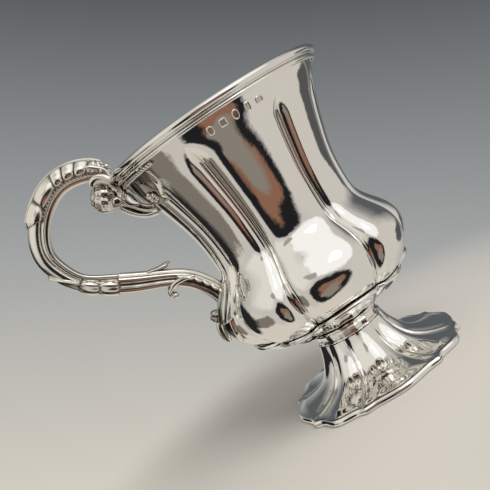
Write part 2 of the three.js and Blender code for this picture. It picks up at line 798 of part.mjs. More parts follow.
add("upper_scroll", carve(upperScroll(0), wallSpace), CAST);
add("lower_scroll", carve(lowerScroll(0), wallSpace), CAST);
add("arch_leaf", archLeaf(), CAST);
add("husk_leaf", huskLeaf(), CAST);
add("rim_clasp", carve(rimClasp(), wallSpace), CAST);
add("bud", carve(bud(), wallSpace, archSpace, claspSpace, curlSpace), CAST);
add("bud_curl", carve(budCurl(), wallSpace), CAST);
add("bracket_strut", carve(strut(0), wallSpace, budSpace, curlSpace), CAST);
add("stem_spur", carve(stemSpur(), stemSpace), CAST);
add("stem_curl", carve(stemCurl(), stemSpace, wallSpace), CAST);
add("terminal_knob", carve(terminalKnob(), wallSpace, stemSpace), CAST);
add("terminal_tail", carve(terminalTail(), wallSpace, knobSpace), CAST);
for (const [name, side] of [
  ["near", 1],
  ["far", -1],
]) {
  add(`bud_leaf_${name}`, carve(budLeaf(-side), wallSpace, archSpace, budSpace), CAST);
  add(`bracket_arm_${name}`, carve(bracketArm(side), wallSpace, strutSpace, claspSpace), CAST);
  add(`shoulder_leaf_${name}`, carve(shoulderLeaf(side), wallSpace, stemSpace, knobSpace), CAST);
}

// The origin is under the middle of the mug's whole outline, on the surface it stands on.
const outline = new THREE.Box3().setFromObject(mug);
const middle = outline.getCenter(new THREE.Vector3());
mug.position.set(-middle.x, -middle.y, -outline.min.z);

export default mug;
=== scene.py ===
"""A christening mug in silver: its finishes, its fine surfaces and the small studio round it.

Sizes are in millimetres and turned into metres where a mesh is made. A place in the handle's plane
is (out, height): out is the distance from the bowl's axis towards the handle, which stands on the
-X side. A turn is an angle round the bowl's axis, from the handle towards the -Y side.
"""

from __future__ import annotations

import logging
import math
from dataclasses import dataclass, field
from enum import Enum
from typing import Callable

import bmesh
import bpy
import numpy as np
from mathutils import Matrix, Vector

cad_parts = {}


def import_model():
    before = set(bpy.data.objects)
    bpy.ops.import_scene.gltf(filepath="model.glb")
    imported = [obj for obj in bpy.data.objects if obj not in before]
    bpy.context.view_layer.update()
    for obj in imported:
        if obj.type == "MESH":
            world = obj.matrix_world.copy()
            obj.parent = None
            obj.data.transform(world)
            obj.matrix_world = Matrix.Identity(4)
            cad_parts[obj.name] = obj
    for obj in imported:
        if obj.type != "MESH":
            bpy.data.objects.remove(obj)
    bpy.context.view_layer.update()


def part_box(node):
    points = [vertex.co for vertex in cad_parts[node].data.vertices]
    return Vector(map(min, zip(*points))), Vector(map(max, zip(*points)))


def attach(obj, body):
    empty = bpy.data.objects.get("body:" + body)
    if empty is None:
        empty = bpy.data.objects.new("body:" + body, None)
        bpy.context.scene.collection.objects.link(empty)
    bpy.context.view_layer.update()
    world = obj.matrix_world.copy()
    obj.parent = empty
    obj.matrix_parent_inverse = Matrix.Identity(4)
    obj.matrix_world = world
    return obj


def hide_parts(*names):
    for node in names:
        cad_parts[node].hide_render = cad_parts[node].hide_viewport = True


LOG = logging.getLogger("mug")
MM = 0.001
BODY = "root"
# The attribute that holds each point's share of painted shade and tarnishing.
HOLLOW = "hollow"
QUARTER_TURN = math.pi / 2
Array = np.ndarray
Socket = bpy.types.NodeSocket
Colour = tuple[float, float, float]
Triple = tuple[float, float, float]
Pair = tuple[float, float]
Place = Pair
Counts = tuple[int, int]
Span = tuple[float, float, float, float]
Rows = tuple[tuple[float, ...], ...]
Relief = Callable[[Array, Array], Array]


class Slot(Enum):
    """The record's two finishes."""

    POLISHED = "polished_silver"
    CAST = "cast_silver"


class Section(Enum):
    """How the first and last rows of a skin meet."""

    ENDS_IN_POINTS = "ends in points"
    CLOSES_ON_ITSELF = "closes on itself"


class Flank(Enum):
    """The two sides of the handle, each with the sign of its y: the near one faces the camera."""

    NEAR = -1.0
    FAR = 1.0

    @property
    def word(self) -> str:
        """The word that ends the names of its pieces."""
        return self.name.lower()


def smooth_step(value: Array, low: float, high: float) -> Array:
    """Rises smoothly from 0 at low to 1 at high."""
    share = np.clip((np.asarray(value, float) - low) / (high - low), 0, 1)
    return share * share * (3 - 2 * share)


def window(value: Array, start: float, full: float, falling: float, gone: float) -> Array:
    """Rises smoothly from 0 at start to 1 at full, and falls from falling to 0 at gone."""
    return smooth_step(value, start, full) * (1 - smooth_step(value, falling, gone))


def ridge(value: Array, centre: float, width: float) -> Array:
    """A rounded ridge of height 1 at the centre, that falls away over the width."""
    return np.exp(-(((value - centre) / width) ** 2))


def ridges(value: Array, rows: Rows) -> Array:
    """Ridges side by side, each a centre, a width and a height. A groove's is below 0."""
    return sum(height * ridge(value, centre, width) for centre, width, height in rows)


def mix(low: Array, high: Array, share: Array) -> Array:
    """A value between low, at share 0, and high, at share 1."""
    return low + (high - low) * share


def between(low: Place, high: Place, rows: Rows) -> list[Place]:
    """A profile's points at shares of the way out and up from one place to another."""
    return [(mix(low[0], high[0], out), mix(low[1], high[1], up)) for out, up in rows]


def placed(start: Place, rows: Rows) -> list[tuple[float, ...]]:
    """Rows whose first two numbers are measured from a start, moved to where they lie."""
    return [(start[0] + out, start[1] + up, *rest) for out, up, *rest in rows]


def arc(centre: Place, radius: float, start: float, end: float, count: int) -> list[Place]:
    """Points round an arc of a profile, by angles in degrees from straight out."""
    angles = np.radians(np.linspace(start, end, count))
    return [(centre[0] + radius * math.cos(a), centre[1] + radius * math.sin(a)) for a in angles]


def headings(points: Array) -> Array:
    """The direction in which a line runs at each of its points, one unit long."""
    along = np.gradient(points, axis=0)
    return along / np.linalg.norm(along, axis=1)[:, None]


def square_to(rows: Array) -> Array:
    """The directions square to a profile, on its right as it runs."""
    along = headings(rows)
    return np.stack([along[:, 1], -along[:, 0]], -1)


def lengths(points: Array) -> Array:
    """The length run along a line up to each of its points."""
    return np.concatenate([[0], np.cumsum(np.linalg.norm(np.diff(points, axis=0), axis=1))])


def ring_angles(count: int) -> Array:
    """Even angles round a full turn."""
    return np.linspace(0, math.tau, count, endpoint=False)


def loop_angles(count: int) -> Array:
    """A bar's ring of angles, folded so that 0 is inside the handle's loop and pi outside."""
    return np.abs((ring_angles(count) + math.pi) % math.tau - math.pi)


def globe(size: Array, down: Array, around: Array) -> Array:
    """Points round a centre, by angles down from the top and round the upright.

    Args:
        size: Their distances from the centre.
        down: Angles down from the top, one to a row.
        around: Angles round the upright, one to a column.

    Returns:
        The grid of points.
    """
    level = size * np.sin(down)
    ways = (level * np.cos(around), level * np.sin(around), size * np.cos(down))
    return np.stack(np.broadcast_arrays(*ways), -1)


def ball(centre: Triple, radius: float, rows: int = 14, columns: int = 20) -> Array:
    """A small bead, as a grid of points round its centre."""
    down, around = np.linspace(0, math.pi, rows)[:, None], ring_angles(columns)[None, :]
    return np.array(centre) + globe(radius, down, around)


def shares(rows: int, columns: int, first: float = 0.0) -> list[Array]:
    """A skin's shares along it, 0 to 1, and its places across it, from the first one to 1."""
    places = (np.linspace(0, 1, rows), np.linspace(first, 1, columns))
    return np.meshgrid(*places, indexing="ij")


def leaned(grid: Array, degrees: float) -> Array:
    """Points turned in the handle's plane, from upright towards the bowl.

    Args:
        grid: Points round the origin.
        degrees: How far they lean.

    Returns:
        The turned points.
    """
    lean = math.radians(degrees)
    x, y, z = np.moveaxis(grid, -1, 0)
    ways = (x * math.cos(lean) + z * math.sin(lean), y, z * math.cos(lean) - x * math.sin(lean))
    return np.stack(ways, -1)


def skin_faces(rows: int, columns: int, section: Section) -> Array:
    """The four-sided faces between neighbouring rings of points.

    Args:
        rows: How many rings there are.
        columns: How many points each has.
        section: How the first and last rings meet.

    Returns:
        The four corners' numbers of each face.
    """
    numbers = np.arange(rows * columns).reshape(rows, columns)
    if section is Section.CLOSES_ON_ITSELF:
        numbers = np.vstack([numbers, numbers[:1]])
    low, high = numbers[:-1], numbers[1:]
    corners = (low, np.roll(low, -1, 1), np.roll(high, -1, 1), high)
    return np.stack(corners, -1).reshape(-1, 4)


class Spline:
    """A smooth curve through points, read by number: 2.5 lies between points 2 and 3."""

    def __init__(self, points: list) -> None:
        """Solves the natural cubic curve through the points.

        Args:
            points: Rows of numbers. The first two or three set the spacing.
        """
        self.points = np.asarray(points, float)
        gaps = np.linalg.norm(np.diff(self.points[:, :2], axis=0), axis=1)
        self.knots = np.concatenate([[0], np.cumsum(np.maximum(gaps, 1e-6))])
        count = len(self.points)
        steps = np.diff(self.knots)
        system = np.eye(count)
        wanted = np.zeros_like(self.points)
        slopes = np.diff(self.points, axis=0) / steps[:, None]
        for i in range(1, count - 1):
            system[i, i - 1 : i + 2] = [steps[i - 1], 2 * (steps[i - 1] + steps[i]), steps[i]]
            wanted[i] = 6 * (slopes[i] - slopes[i - 1])
        self.bends = np.linalg.solve(system, wanted)

    def at(self, numbers: Array) -> Array:
        """The curve's rows at some point numbers.

        Args:
            numbers: Point numbers, whole or between.

        Returns:
            One row for each number.
        """
        place = np.interp(numbers, np.arange(len(self.knots)), self.knots)
        low = np.clip(np.searchsorted(self.knots, place, side="right") - 1, 0, len(self.knots) - 2)
        step = (self.knots[low + 1] - self.knots[low])[:, None]
        after = (place - self.knots[low])[:, None]
        before = step - after
        a, b = self.bends[low], self.bends[low + 1]
        p, q = self.points[low], self.points[low + 1]
        return (
            (a * before**3 + b * after**3) / (6 * step)
            + (p / step - a * step / 6) * before
            + (q / step - b * step / 6) * after
        )

    def spread(self, count: int, first: float = 0.0, last: float | None = None) -> Array:
        """Even samples of the curve, measured along it.

        Args:
            count: How many samples.
            first: The point number to start at.
            last: The point number to end at, or None for the last point.

        Returns:
            The sampled rows.
        """
        end = len(self.points) - 1 if last is None else last
        fine = np.linspace(first, end, 60 * len(self.points))
        rows = self.at(fine)
        run = lengths(rows[:, :2])
        return self.at(np.interp(np.linspace(0, run[-1], count), run, fine))


class NodeLayout:
    """Lays nodes into the tree of a material or a world."""

    def __init__(self, owner: bpy.types.Material | bpy.types.World) -> None:
        """Empties the owner's tree.

        Args:
            owner: The material or world that the nodes are for.
        """
        owner.use_nodes = True
        self.nodes, self.links = owner.node_tree.nodes, owner.node_tree.links
        self.nodes.clear()

    def node(
        self, kind: str, inputs: dict[str | int, object] | None = None, **options: object
    ) -> bpy.types.Node:
        """Adds a node.

        Args:
            kind: Its type, without the word ShaderNode.
            inputs: What each input takes: another node's socket, or a plain value.
            **options: The node's own settings.

        Returns:
            The node.
        """
        made = self.nodes.new(f"ShaderNode{kind}")
        for name, value in options.items():
            setattr(made, name, value)
        for name, value in (inputs or {}).items():
            if isinstance(value, Socket):
                self.links.new(value, made.inputs[name])
            else:
                made.inputs[name].default_value = value
        return made

    def noise(self, place: Socket, scale: float, detail: float) -> bpy.types.NodeOutputs:
        """Cloudy noise over a place."""
        return self.node("TexNoise", {"Vector": place, "Scale": scale, "Detail": detail}).outputs

    def ranged(
        self, value: Socket, source: Pair, target: Pair = (0.0, 1.0), **options: str
    ) -> Socket:
        """Moves a value from one range into another.

        Args:
            value: The value's socket.
            source: The two ends of the range that it comes from.
            target: What those two ends become.
            **options: The node's own settings.

        Returns:
            The moved value.
        """
        inputs = {"Value": value, "From Min": source[0], "From Max": source[1]}
        inputs |= {"To Min": target[0], "To Max": target[1]}
        return self.node("MapRange", inputs, **options).outputs["Result"]

    def blend(self, share: Socket, under: object, over: object) -> Socket:
        """Lays one colour over another by a share."""
        inputs = {"Factor": share, "A": under, "B": over}
        return self.node("Mix", inputs, data_type="RGBA").outputs["Result"]


@dataclass(frozen=True)
class SilverFinish:
    """A silver surface: its colour and polish, the tarnished hollows that polishing leaves, and
    painted shade in nooks.
    """

    name: str
    slot: Slot
    colour: Colour
    roughness: float
    scuff: float
    # How far tarnished hollows and painted shade darken the colour, and the dark brown that both
    # take.
    tarnish_and_shade: float
    tarnish_and_shade_colour: Colour = (0.06, 0.041, 0.025)
    hollow_reach: float = 0.0022
    sheltered: Pair = (0.9, 0.25)
    shelter_samples: int = 8
    patch_scale: float = 240.0
    patch_detail: float = 4.0
    patch_noise: Pair = (0.3, 0.7)
    patch_shade: Pair = (0.72, 1.0)
    swirl_scale: float = 1400.0
    swirl_detail: float = 3.0
    swirl_noise: Pair = (0.35, 0.75)
    ripple_scale: float = 38.0
    ripple_detail: float = 0.6
    ripple_depth: float = 0.00012
    pit_scale: float = 620.0
    pit_detail: float = 2.0
    pit_depth: float = 0.00002

    def material(self) -> bpy.types.Material:
        """Lays out the finish's nodes.

        Returns:
            The material.
        """
        material = bpy.data.materials.new(self.name)
        layout = NodeLayout(material)
        place = layout.node("TexCoord").outputs["Object"]

        swirls = layout.noise(place, self.swirl_scale, self.swirl_detail)["Fac"]
        polish = (self.roughness, self.roughness + self.scuff)

        ripples = layout.noise(place, self.ripple_scale, self.ripple_detail)["Fac"]
        waved = layout.node("Bump", {"Height": ripples, "Distance": self.ripple_depth})
        pits = layout.noise(place, self.pit_scale, self.pit_detail)["Fac"]
        pitted = layout.node(
            "Bump", {"Height": pits, "Distance": self.pit_depth, "Normal": waved.outputs["Normal"]}
        )

        # Painted shade: ambient occlusion finds nooks, creases and joints, and the colour darkens
        # there.
        shelter = layout.node(
            "AmbientOcclusion", {"Distance": self.hollow_reach}, samples=self.shelter_samples
        )
        nook = layout.ranged(shelter.outputs["AO"], self.sheltered)
        # The hollow attribute: painted shade and tarnishing laid on each piece's recesses.
        relief = layout.node("Attribute", attribute_name=HOLLOW).outputs["Fac"]
        either = layout.node("Math", {0: nook, 1: relief}, operation="MAXIMUM")
        clouds = layout.noise(place, self.patch_scale, self.patch_detail)["Fac"]
        patches = layout.ranged(clouds, self.patch_noise, self.patch_shade)
        tarnish_and_shade_mask = layout.node(
            "Math", {0: either.outputs["Value"], 1: patches}, operation="MULTIPLY"
        )
        # The share of painted shade and tarnishing mixed into the base colour.
        share = layout.ranged(tarnish_and_shade_mask.outputs["Value"], (0.0, 1.0), (0.0, self.tarnish_and_shade))
        metal = layout.node(
            "BsdfPrincipled",
            {
                "Base Color": layout.blend(
                    share, (*self.colour, 1.0), (*self.tarnish_and_shade_colour, 1.0)
                ),
                "Metallic": 1.0,
                "Roughness": layout.ranged(swirls, self.swirl_noise, polish),
                "Normal": pitted.outputs["Normal"],
            },
        )
        layout.node("OutputMaterial", {"Surface": metal.outputs["BSDF"]})
        return material


@dataclass
class Piece:
    """Collects the skins of one piece and makes one dressed mesh of them."""

    name: str
    slot: Slot
    replaces: tuple[str, ...] = ()
    sharp_degrees: float = 40.0
    points: list[Array] = field(default_factory=list)
    shades: list[Array] = field(default_factory=list)
    faces: list[Array] = field(default_factory=list)

    def add(
        self,
        grid: Array,
        section: Section = Section.ENDS_IN_POINTS,
        hollow: Array | None = None,
    ) -> None:
        """Adds one closed skin.

        Args:
            grid: Points in millimetres, rows by columns by 3, each row a closed ring.
            section: How the first and last rows meet.
            hollow: How sheltered each point is, 0 to 1, its share of painted shade and tarnishing,
                or None for an open surface.
        """
        rows, columns, _ = grid.shape
        start = sum(len(part) for part in self.points)
        self.points.append(grid.reshape(-1, 3))
        self.faces.append(skin_faces(rows, columns, section) + start)
        self.shades.append(np.zeros(rows * columns) if hollow is None else hollow.reshape(-1))

    def make(self, finishes: dict[Slot, bpy.types.Material]) -> None:
        """Makes the mesh, dresses it and sets it on the body.

        Args:
            finishes: The material of each slot.
        """
        mesh = bpy.data.meshes.new(self.name)
        points = np.vstack(self.points) * MM
        mesh.from_pydata(points.tolist(), [], np.vstack(self.faces).tolist())
        # Painted shade and tarnishing: how far each point's colour darkens.
        shade = np.clip(np.concatenate(self.shades), 0, 1).astype(np.float32)
        mesh.attributes.new(HOLLOW, "FLOAT", "POINT").data.foreach_set("value", shade)
        work = bmesh.new()
        work.from_mesh(mesh)
        bmesh.ops.remove_doubles(work, verts=work.verts, dist=0.001 * MM)
        bmesh.ops.recalc_face_normals(work, faces=work.faces)
        work.to_mesh(mesh)
        work.free()
        mesh.shade_smooth()
        mesh.set_sharp_from_angle(angle=math.radians(self.sharp_degrees))
        mesh.materials.append(finishes[self.slot])
        made = bpy.data.objects.new(self.name, mesh)
        bpy.context.scene.collection.objects.link(made)
        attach(made, BODY)
        if self.replaces:
            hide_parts(*self.replaces)
        LOG.info("%s: %d points", self.name, len(mesh.vertices))


@dataclass(frozen=True)
class Lobes:
    """The mug's rhythm: four wide lobes square to the handle, and four narrow ones between."""

    wide_degrees: float = 52.0
    half_steps: int = 18

    @property
    def half_wide(self) -> float:
        """Half the turn that a wide lobe takes up, in radians."""
        return math.radians(self.wide_degrees) / 2

    @staticmethod
    def from_wide(turn: Array) -> Array:
        """How far each turn lies from the middle of the nearest wide lobe."""
        return np.abs(turn - QUARTER_TURN * np.round(turn / QUARTER_TURN))

    def edge(self, turn: Array) -> Array:
        """How far a turn lies from its lobe's centre, 0, to the crease beside it, 1."""
        away, wide, half = self.from_wide(turn), self.half_wide, QUARTER_TURN / 2
        return np.where(away < wide, away / wide, (half - away) / (half - wide))

    def is_wide(self, turn: Array) -> Array:
        """Whether each turn lies in a wide lobe."""
        return self.from_wide(turn) < self.half_wide

    def turns(self) -> Array:
        """The columns' turns, which crowd towards the creases.

        Returns:
            The turns in radians.
        """
        half = np.sin(np.linspace(0, math.pi / 2, self.half_steps + 1))
        across = np.concatenate([-half[::-1], half[1:-1]])
        narrow = QUARTER_TURN / 2 - self.half_wide
        columns = []
        for quarter in range(4):
            columns.append(quarter * QUARTER_TURN + self.half_wide * across)
            columns.append((quarter + 0.5) * QUARTER_TURN + narrow * across)
        return np.concatenate(columns)


@dataclass(frozen=True)
class Stance:
    """Where the mug stands in the frame, in millimetres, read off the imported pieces."""

    axis: float
    height: float
    mouth_radius: float
    foot_radius: float
    lobes: Lobes = Lobes()

    @classmethod
    def read(cls) -> Stance:
        """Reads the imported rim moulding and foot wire.

        Returns:
            The mug's stance.
        """
        rim_low, rim_high = (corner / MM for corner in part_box("rim_moulding"))
        foot_low, foot_high = (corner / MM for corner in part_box("foot_wire"))
        return cls(
            axis=(rim_low.x + rim_high.x) / 2,
            height=rim_high.z,
            mouth_radius=(rim_high.y - rim_low.y) / 2,
            foot_radius=(foot_high.y - foot_low.y) / 2,
        )

    def around(self, out: Array, turn: Array, height: Array) -> Array:
        """Points in the frame from a distance out, a turn and a height."""
        out, turn, height = np.broadcast_arrays(out, turn, height)
        return np.stack([self.axis - out * np.cos(turn), -out * np.sin(turn), height], -1)

    def beside(self, out: Array, side: Array, height: Array) -> Array:
        """Points in the frame from places in the handle's plane and distances beside it."""
        out, side, height = np.broadcast_arrays(out, side, height)
        return np.stack([self.axis - out, side, height], -1)

    def spin(
        self,
        radius: Array,
        height: Array,
        turns: Array,
        size: Relief | None = None,
    ) -> Array:
        """Spins a profile round the axis, scaled by the size at each turn and height."""
        radius, height, turn = np.broadcast_arrays(radius, height, turns[None, :])
        return self.around(radius if size is None else radius * size(turn, height), turn, height)

    def turned(self, profile: list[Place], count: int) -> Array:
        """Spins a profile of radius and height into a plain turned ring of so many columns."""
        radius, height = np.asarray(profile, float).T
        return self.spin(radius[:, None], height[:, None], ring_angles(count))


@dataclass(frozen=True)
class BowlWall:
    """The bowl's lobed wall, which everything soldered to it follows."""

    stance: Stance
    waist_radius: float = 30.8
    waist_height: float = 71.0
    belly_radius: float = 40.6
    belly_height: float = 48.0
    base_radius: float = 18.0
    base_height: float = 30.7
    base_to_belly: Rows = ((0.43, 0.105), (0.745, 0.35), (0.93, 0.66))
    belly_to_waist: Rows = ((0.18, 0.29), (0.71, 0.6), (0.97, 0.82))
    waist_to_mouth: Rows = ((0.08, 0.26), (0.3, 0.5), (0.62, 0.755), (0.9, 0.94))
    lip_projection: float = 3.2
    moulding_height: float = 5.0
    clearance: float = 0.3
    sheet: float = 0.8
    waist_crease: float = 0.11
    belly_crease: float = 0.115
    fade_start: float = 103.0
    fade_end: float = 112.5
    belly_roundness: float = 4.2
    waist_roundness: float = 6.0
    fading_roundness: float = 8.0
    samples: int = 400

    def outline(self) -> Spline:
        """The outside of the wall, from the middle of the base to the mouth.

        Returns:
            A curve of radius and height.
        """
        base = (self.base_radius, self.base_height)
        belly = (self.belly_radius, self.belly_height)
        waist = (self.waist_radius, self.waist_height)
        wall = self.stance.mouth_radius - self.lip_projection
        mouth = (wall - self.clearance, self.stance.height - self.moulding_height)
        return Spline(
            [
                base,
                *between(base, belly, self.base_to_belly),
                belly,
                *between(belly, waist, self.belly_to_waist),
                waist,
                *between(waist, mouth, self.waist_to_mouth),
                (wall, self.stance.height - self.clearance),
            ]
        )

    def offset(self, samples: int, distance: float) -> Array:
        """The outline moved square to itself."""
        rows = self.outline().spread(samples)
        return rows + distance * square_to(rows)

    def size(self, turn: Array, height: Array) -> Array:
        """The share of the radius left at a turn and height: the lobes swell between creases.

        Args:
            turn: Turns from the handle.
            height: Heights.

        Returns:
            The shares.
        """
        edge = self.stance.lobes.edge(turn)
        rise = smooth_step(height, self.belly_height, self.waist_height)
        fading = smooth_step(height, self.fade_start, self.fade_end)
        crease = mix(self.belly_crease, self.waist_crease, rise) * (1 - fading)
        roundness = mix(self.belly_roundness, self.waist_roundness, rise)
        return 1 - crease * edge ** mix(roundness, self.fading_roundness, fading)

    def radius(self, height: Array) -> Array:
        """The outer radius in the middle of a lobe at some heights."""
        rows = self.outline().spread(self.samples)
        return np.interp(height, rows[:, 1], rows[:, 0])

    def on_wall(self, turn: Array, height: Array, proud: Array) -> Array:
        """Points on the wall, or a distance proud of it."""
        out = self.radius(height) * self.size(turn, height) + proud
        return self.stance.around(out, turn, height)


@dataclass
class Bowl:
    """The raised bowl with its soldered rim moulding."""

    wall: BowlWall
    outside_rows: int = 190
    inside_rows: int = 80
    lip_radius: float = 1.4
    lip_degrees: Pair = (-65, 110)
    lip_points: int = 20
    bead_radius: float = 0.8
    bead_degrees: Pair = (-90, 75)
    bead_points: int = 12
    quirk: float = 0.35
    quirk_shares: Pair = (0.5, 0.45)
    rim_columns: int = 240

    def body(self) -> Piece:
        """The sheet itself, outside and inside.

        Returns:
            The piece.
        """
        piece = Piece("bowl_sheet", Slot.POLISHED, ("bowl",))
        outside = self.wall.offset(self.outside_rows, 0)
        inside = self.wall.offset(self.inside_rows, -self.wall.sheet)[::-1]
        low = self.wall.base_height
        profile = np.vstack([[0, low], outside, inside, [0, low + self.wall.sheet]])
        stance = self.wall.stance
        radius, height = profile[:, :1], profile[:, 1:]
        piece.add(stance.spin(radius, height, stance.lobes.turns(), self.wall.size))
        return piece

    def moulding(self) -> Piece:
        """The rounded lip over its bead, with a sunk line between.

        Returns:
            The piece.
        """
        wall, stance = self.wall, self.wall.stance
        piece = Piece("rim_wire", Slot.POLISHED, ("rim_moulding",))
        top, foot = stance.height, stance.height - wall.moulding_height
        lip = (stance.mouth_radius - self.lip_radius, top - self.lip_radius)
        bead_out = stance.mouth_radius - wall.lip_projection / 2 - self.bead_radius
        bead = (bead_out, foot + self.bead_radius)
        seat = stance.mouth_radius - wall.lip_projection + wall.clearance
        out, up = between(bead, lip, (self.quirk_shares,))[0]
        profile = [
            (seat, foot),
            *arc(bead, self.bead_radius, *self.bead_degrees, self.bead_points),
            (out, up - self.quirk),
            (out + self.quirk, up),
            (out + self.quirk, up + self.quirk),
            *arc(lip, self.lip_radius, *self.lip_degrees, self.lip_points),
            (seat, top - self.lip_radius),
        ]
        piece.add(stance.turned(profile, self.rim_columns), Section.CLOSES_ON_ITSELF)
        return piece


class Punch(Enum):
    """The outlines of the five struck marks, blank inside: breadth, height and squareness."""

    SHIELD = (0.9, 1.15, 2.6)
    SQUARE = (1.0, 1.0, 8.0)
    OVAL = (0.95, 1.25, 2.0)
    TALL = (0.8, 1.2, 5.0)
    ROUND = (1.1, 0.95, 2.4)


@dataclass
class PunchMarks:
    """Five blank punches in a row under the rim, on the lobe square to the handle."""

    wall: BowlWall
    height: float = 111.2
    first_degrees: float = 78.3
    step_degrees: float = 6.75
    half_width: float = 1.35
    border: float = 0.22
    border_softness: float = 0.1
    lift: float = 0.14
    clear: float = 0.02
    skirt: float = 1.03
    field_share: float = 0.82
    field_shade: float = 0.35
    rows: int = 14
    columns: int = 40

    def mark(self, number: int, punch: Punch) -> Piece:
        """One punch: a raised border round a sunk blank field.

        Args:
            number: Its number from the handle, from 0.
            punch: Its outline.

        Returns:
            The piece.
        """
        piece = Piece(f"punch_mark_{number + 1}", Slot.CAST)
        wide, tall, square = punch.value
        angle = ring_angles(self.columns)
        power = np.abs(np.cos(angle)) ** square + np.abs(np.sin(angle)) ** square
        corner = power ** (-1 / square)
        share = np.concatenate([np.linspace(0, 1, self.rows), [self.skirt, self.skirt, 0]])
        border = ridge(share, 1 - self.border / self.half_width, self.border_softness)
        rise = border * self.lift
        rise[-2:] = -self.lift
        across = self.half_width * wide * np.outer(share, corner * np.cos(angle))
        up = self.half_width * tall * np.outer(share, corner * np.sin(angle))
        centre = math.radians(self.first_degrees + number * self.step_degrees)
        turn = centre + across / self.wall.radius(np.array(self.height))
        proud = np.broadcast_to(rise[:, None] + self.clear, across.shape)
        shade = (share < self.field_share) * self.field_shade
        shade = np.broadcast_to(shade[:, None], across.shape)
        piece.add(self.wall.on_wall(turn, self.height + up, proud), hollow=shade)
        return piece

    def pieces(self) -> list[Piece]:
        """All five, each with its own outline."""
        return [self.mark(number, punch) for number, punch in enumerate(Punch)]


@dataclass
class Stem:
    """The leafy saucer under the bowl, the thin rings below it and the facetted collar."""

    wall: BowlWall
    calyx_radius: float = 35.4
    calyx_crease_radius: float = 33.4
    calyx_narrow_radius: float = 31.4
    calyx_lip: float = 1.3
    calyx_shares: Rows = ((0.35, 0.14), (0.7, 0.42))
    calyx_bore: float = 8.0
    calyx_drop: float = 2.8
    calyx_samples: int = 500
    back_rows: int = 44
    inside_rows: int = 22
    inside_last: int = 4
    lip_bead: float = 0.85
    lip_degrees: Pair = (-70, 150)
    lip_points: int = 14
    leaf_bead: float = 0.45
    leaf_stand: float = 1.0
    leaf_droop: float = 0.4
    leaf_roundness: float = 1.3
    bead_roundness: float = 4.0
    lip_fill: float = 5.0
    wide_ribs: float = 3.0
    narrow_ribs: float = 2.0
    rib_height: float = 0.6
    rib_lift: float = 0.35
    rib_window: Span = (0.08, 0.3, 0.88, 0.99)
    rib_shade: float = 0.7
    ring_radius: float = 15.0
    ring_height: float = 1.2
    ring_columns: int = 160
    upper_step: float = 0.8
    lower_step_back: float = 1.4
    step_neck: float = 1.6
    tube_seat: float = 11.3
    collar_top_radius: float = 15.2
    collar_waist_radius: float = 13.3
    collar_height: float = 4.8
    collar_base: Rows = ((0.8, 0), (0.9, 0.05), (0.8, 0.1), (0, 0.17))
    collar_hollow: Rows = ((0.08, 0.4), (0.3, 0.68), (0.8, 0.84), (1, 0.88), (1, 0.93))
    collar_bevel: float = 0.3
    facets: int = 16
    facet_columns: int = 8
    facet_hollow: float = 0.015
    facet_sharp_degrees: float = 18.0

    @property
    def calyx_foot(self) -> float:
        """The height of the calyx's underside."""
        return self.wall.base_height - self.wall.clearance - self.calyx_drop

    @property
    def collar_top(self) -> float:
        """The height of the collar's flange."""
        return self.calyx_foot - 2 * self.wall.clearance - self.ring_height

    @property
    def collar_foot(self) -> float:
        """The height of the collar's underside."""
        return self.collar_top - self.collar_height

    def calyx_column(self, edge: float, is_wide: bool) -> tuple[Array, Array]:
        """One column's profile: up the back, round the lip's bead and down along the wall.

        Args:
            edge: How far the column lies from its lobe's centre, 0, to the crease, 1.
            is_wide: Whether that lobe is a wide one.

        Returns:
            Rows of radius and height, and how far each lies along the back, 0 off it.
        """
        seat = self.wall.offset(self.calyx_samples, self.wall.clearance)
        square = self.wall.offset(self.calyx_samples, 1.0) - seat
        square /= 1 - self.wall.clearance
        middle = self.calyx_radius if is_wide else self.calyx_narrow_radius
        reach = mix(middle, self.calyx_crease_radius, edge**2) - self.calyx_lip
        tip = int(np.argmax(seat[:, 0] > reach))
        thinned = mix(self.leaf_bead, self.lip_bead, edge**self.bead_roundness)
        bead = self.lip_bead if is_wide else thinned
        stand = 0.0 if is_wide else self.leaf_stand * (1 - edge) ** self.leaf_roundness
        centre = seat[tip] + square[tip] * bead + (stand, -self.leaf_droop * stand)
        lean = math.degrees(math.atan2(square[tip, 1], square[tip, 0]))
        start, end = (lean + degrees for degrees in self.lip_degrees)
        lip = arc(tuple(centre), bead, start, end, self.lip_points)
        root = (self.ring_radius, self.calyx_foot)
        back = Spline([root, *between(root, lip[0], self.calyx_shares), lip[0]])
        back = back.spread(self.back_rows)
        last = self.inside_last
        first = max(tip + round(self.lip_fill * stand), last)
        inside = seat[np.linspace(first, last, self.inside_rows).astype(int)]
        bore = [(self.calyx_bore, self.wall.base_height - self.wall.clearance)]
        bore.append((self.calyx_bore, self.calyx_foot))
        rows = np.vstack([back, lip[1:], inside, bore])
        along = np.zeros(len(rows))
        along[: len(back)] = np.linspace(0, 1, len(back))
        return rows, along

    def calyx(self) -> Piece:
        """The saucer: eight leaves with rolled lips and ribbed backs.

        Returns:
            The piece.
        """
        stance = self.wall.stance
        piece = Piece("calyx_leaves", Slot.POLISHED, ("calyx",))
        turns = stance.lobes.turns()
        edges, wide = stance.lobes.edge(turns), stance.lobes.is_wide(turns)
        columns = [self.calyx_column(edge, is_wide) for edge, is_wide in zip(edges, wide)]
        radius = np.stack([rows[:, 0] for rows, _ in columns], 1)
        height = np.stack([rows[:, 1] for rows, _ in columns], 1)
        along = np.stack([share for _, share in columns], 1)
        ribs = np.cos(edges * np.where(wide, self.wide_ribs, self.narrow_ribs) * math.pi)
        ribbed = window(along, *self.rib_window)
        valley = ribbed * (0.5 - 0.5 * ribs)
        height = height + self.rib_height * (valley - self.rib_lift * ribbed)
        grid = stance.spin(radius, height, turns, self.wall.size)
        piece.add(grid, Section.CLOSES_ON_ITSELF, self.rib_shade * valley**3)
        return piece

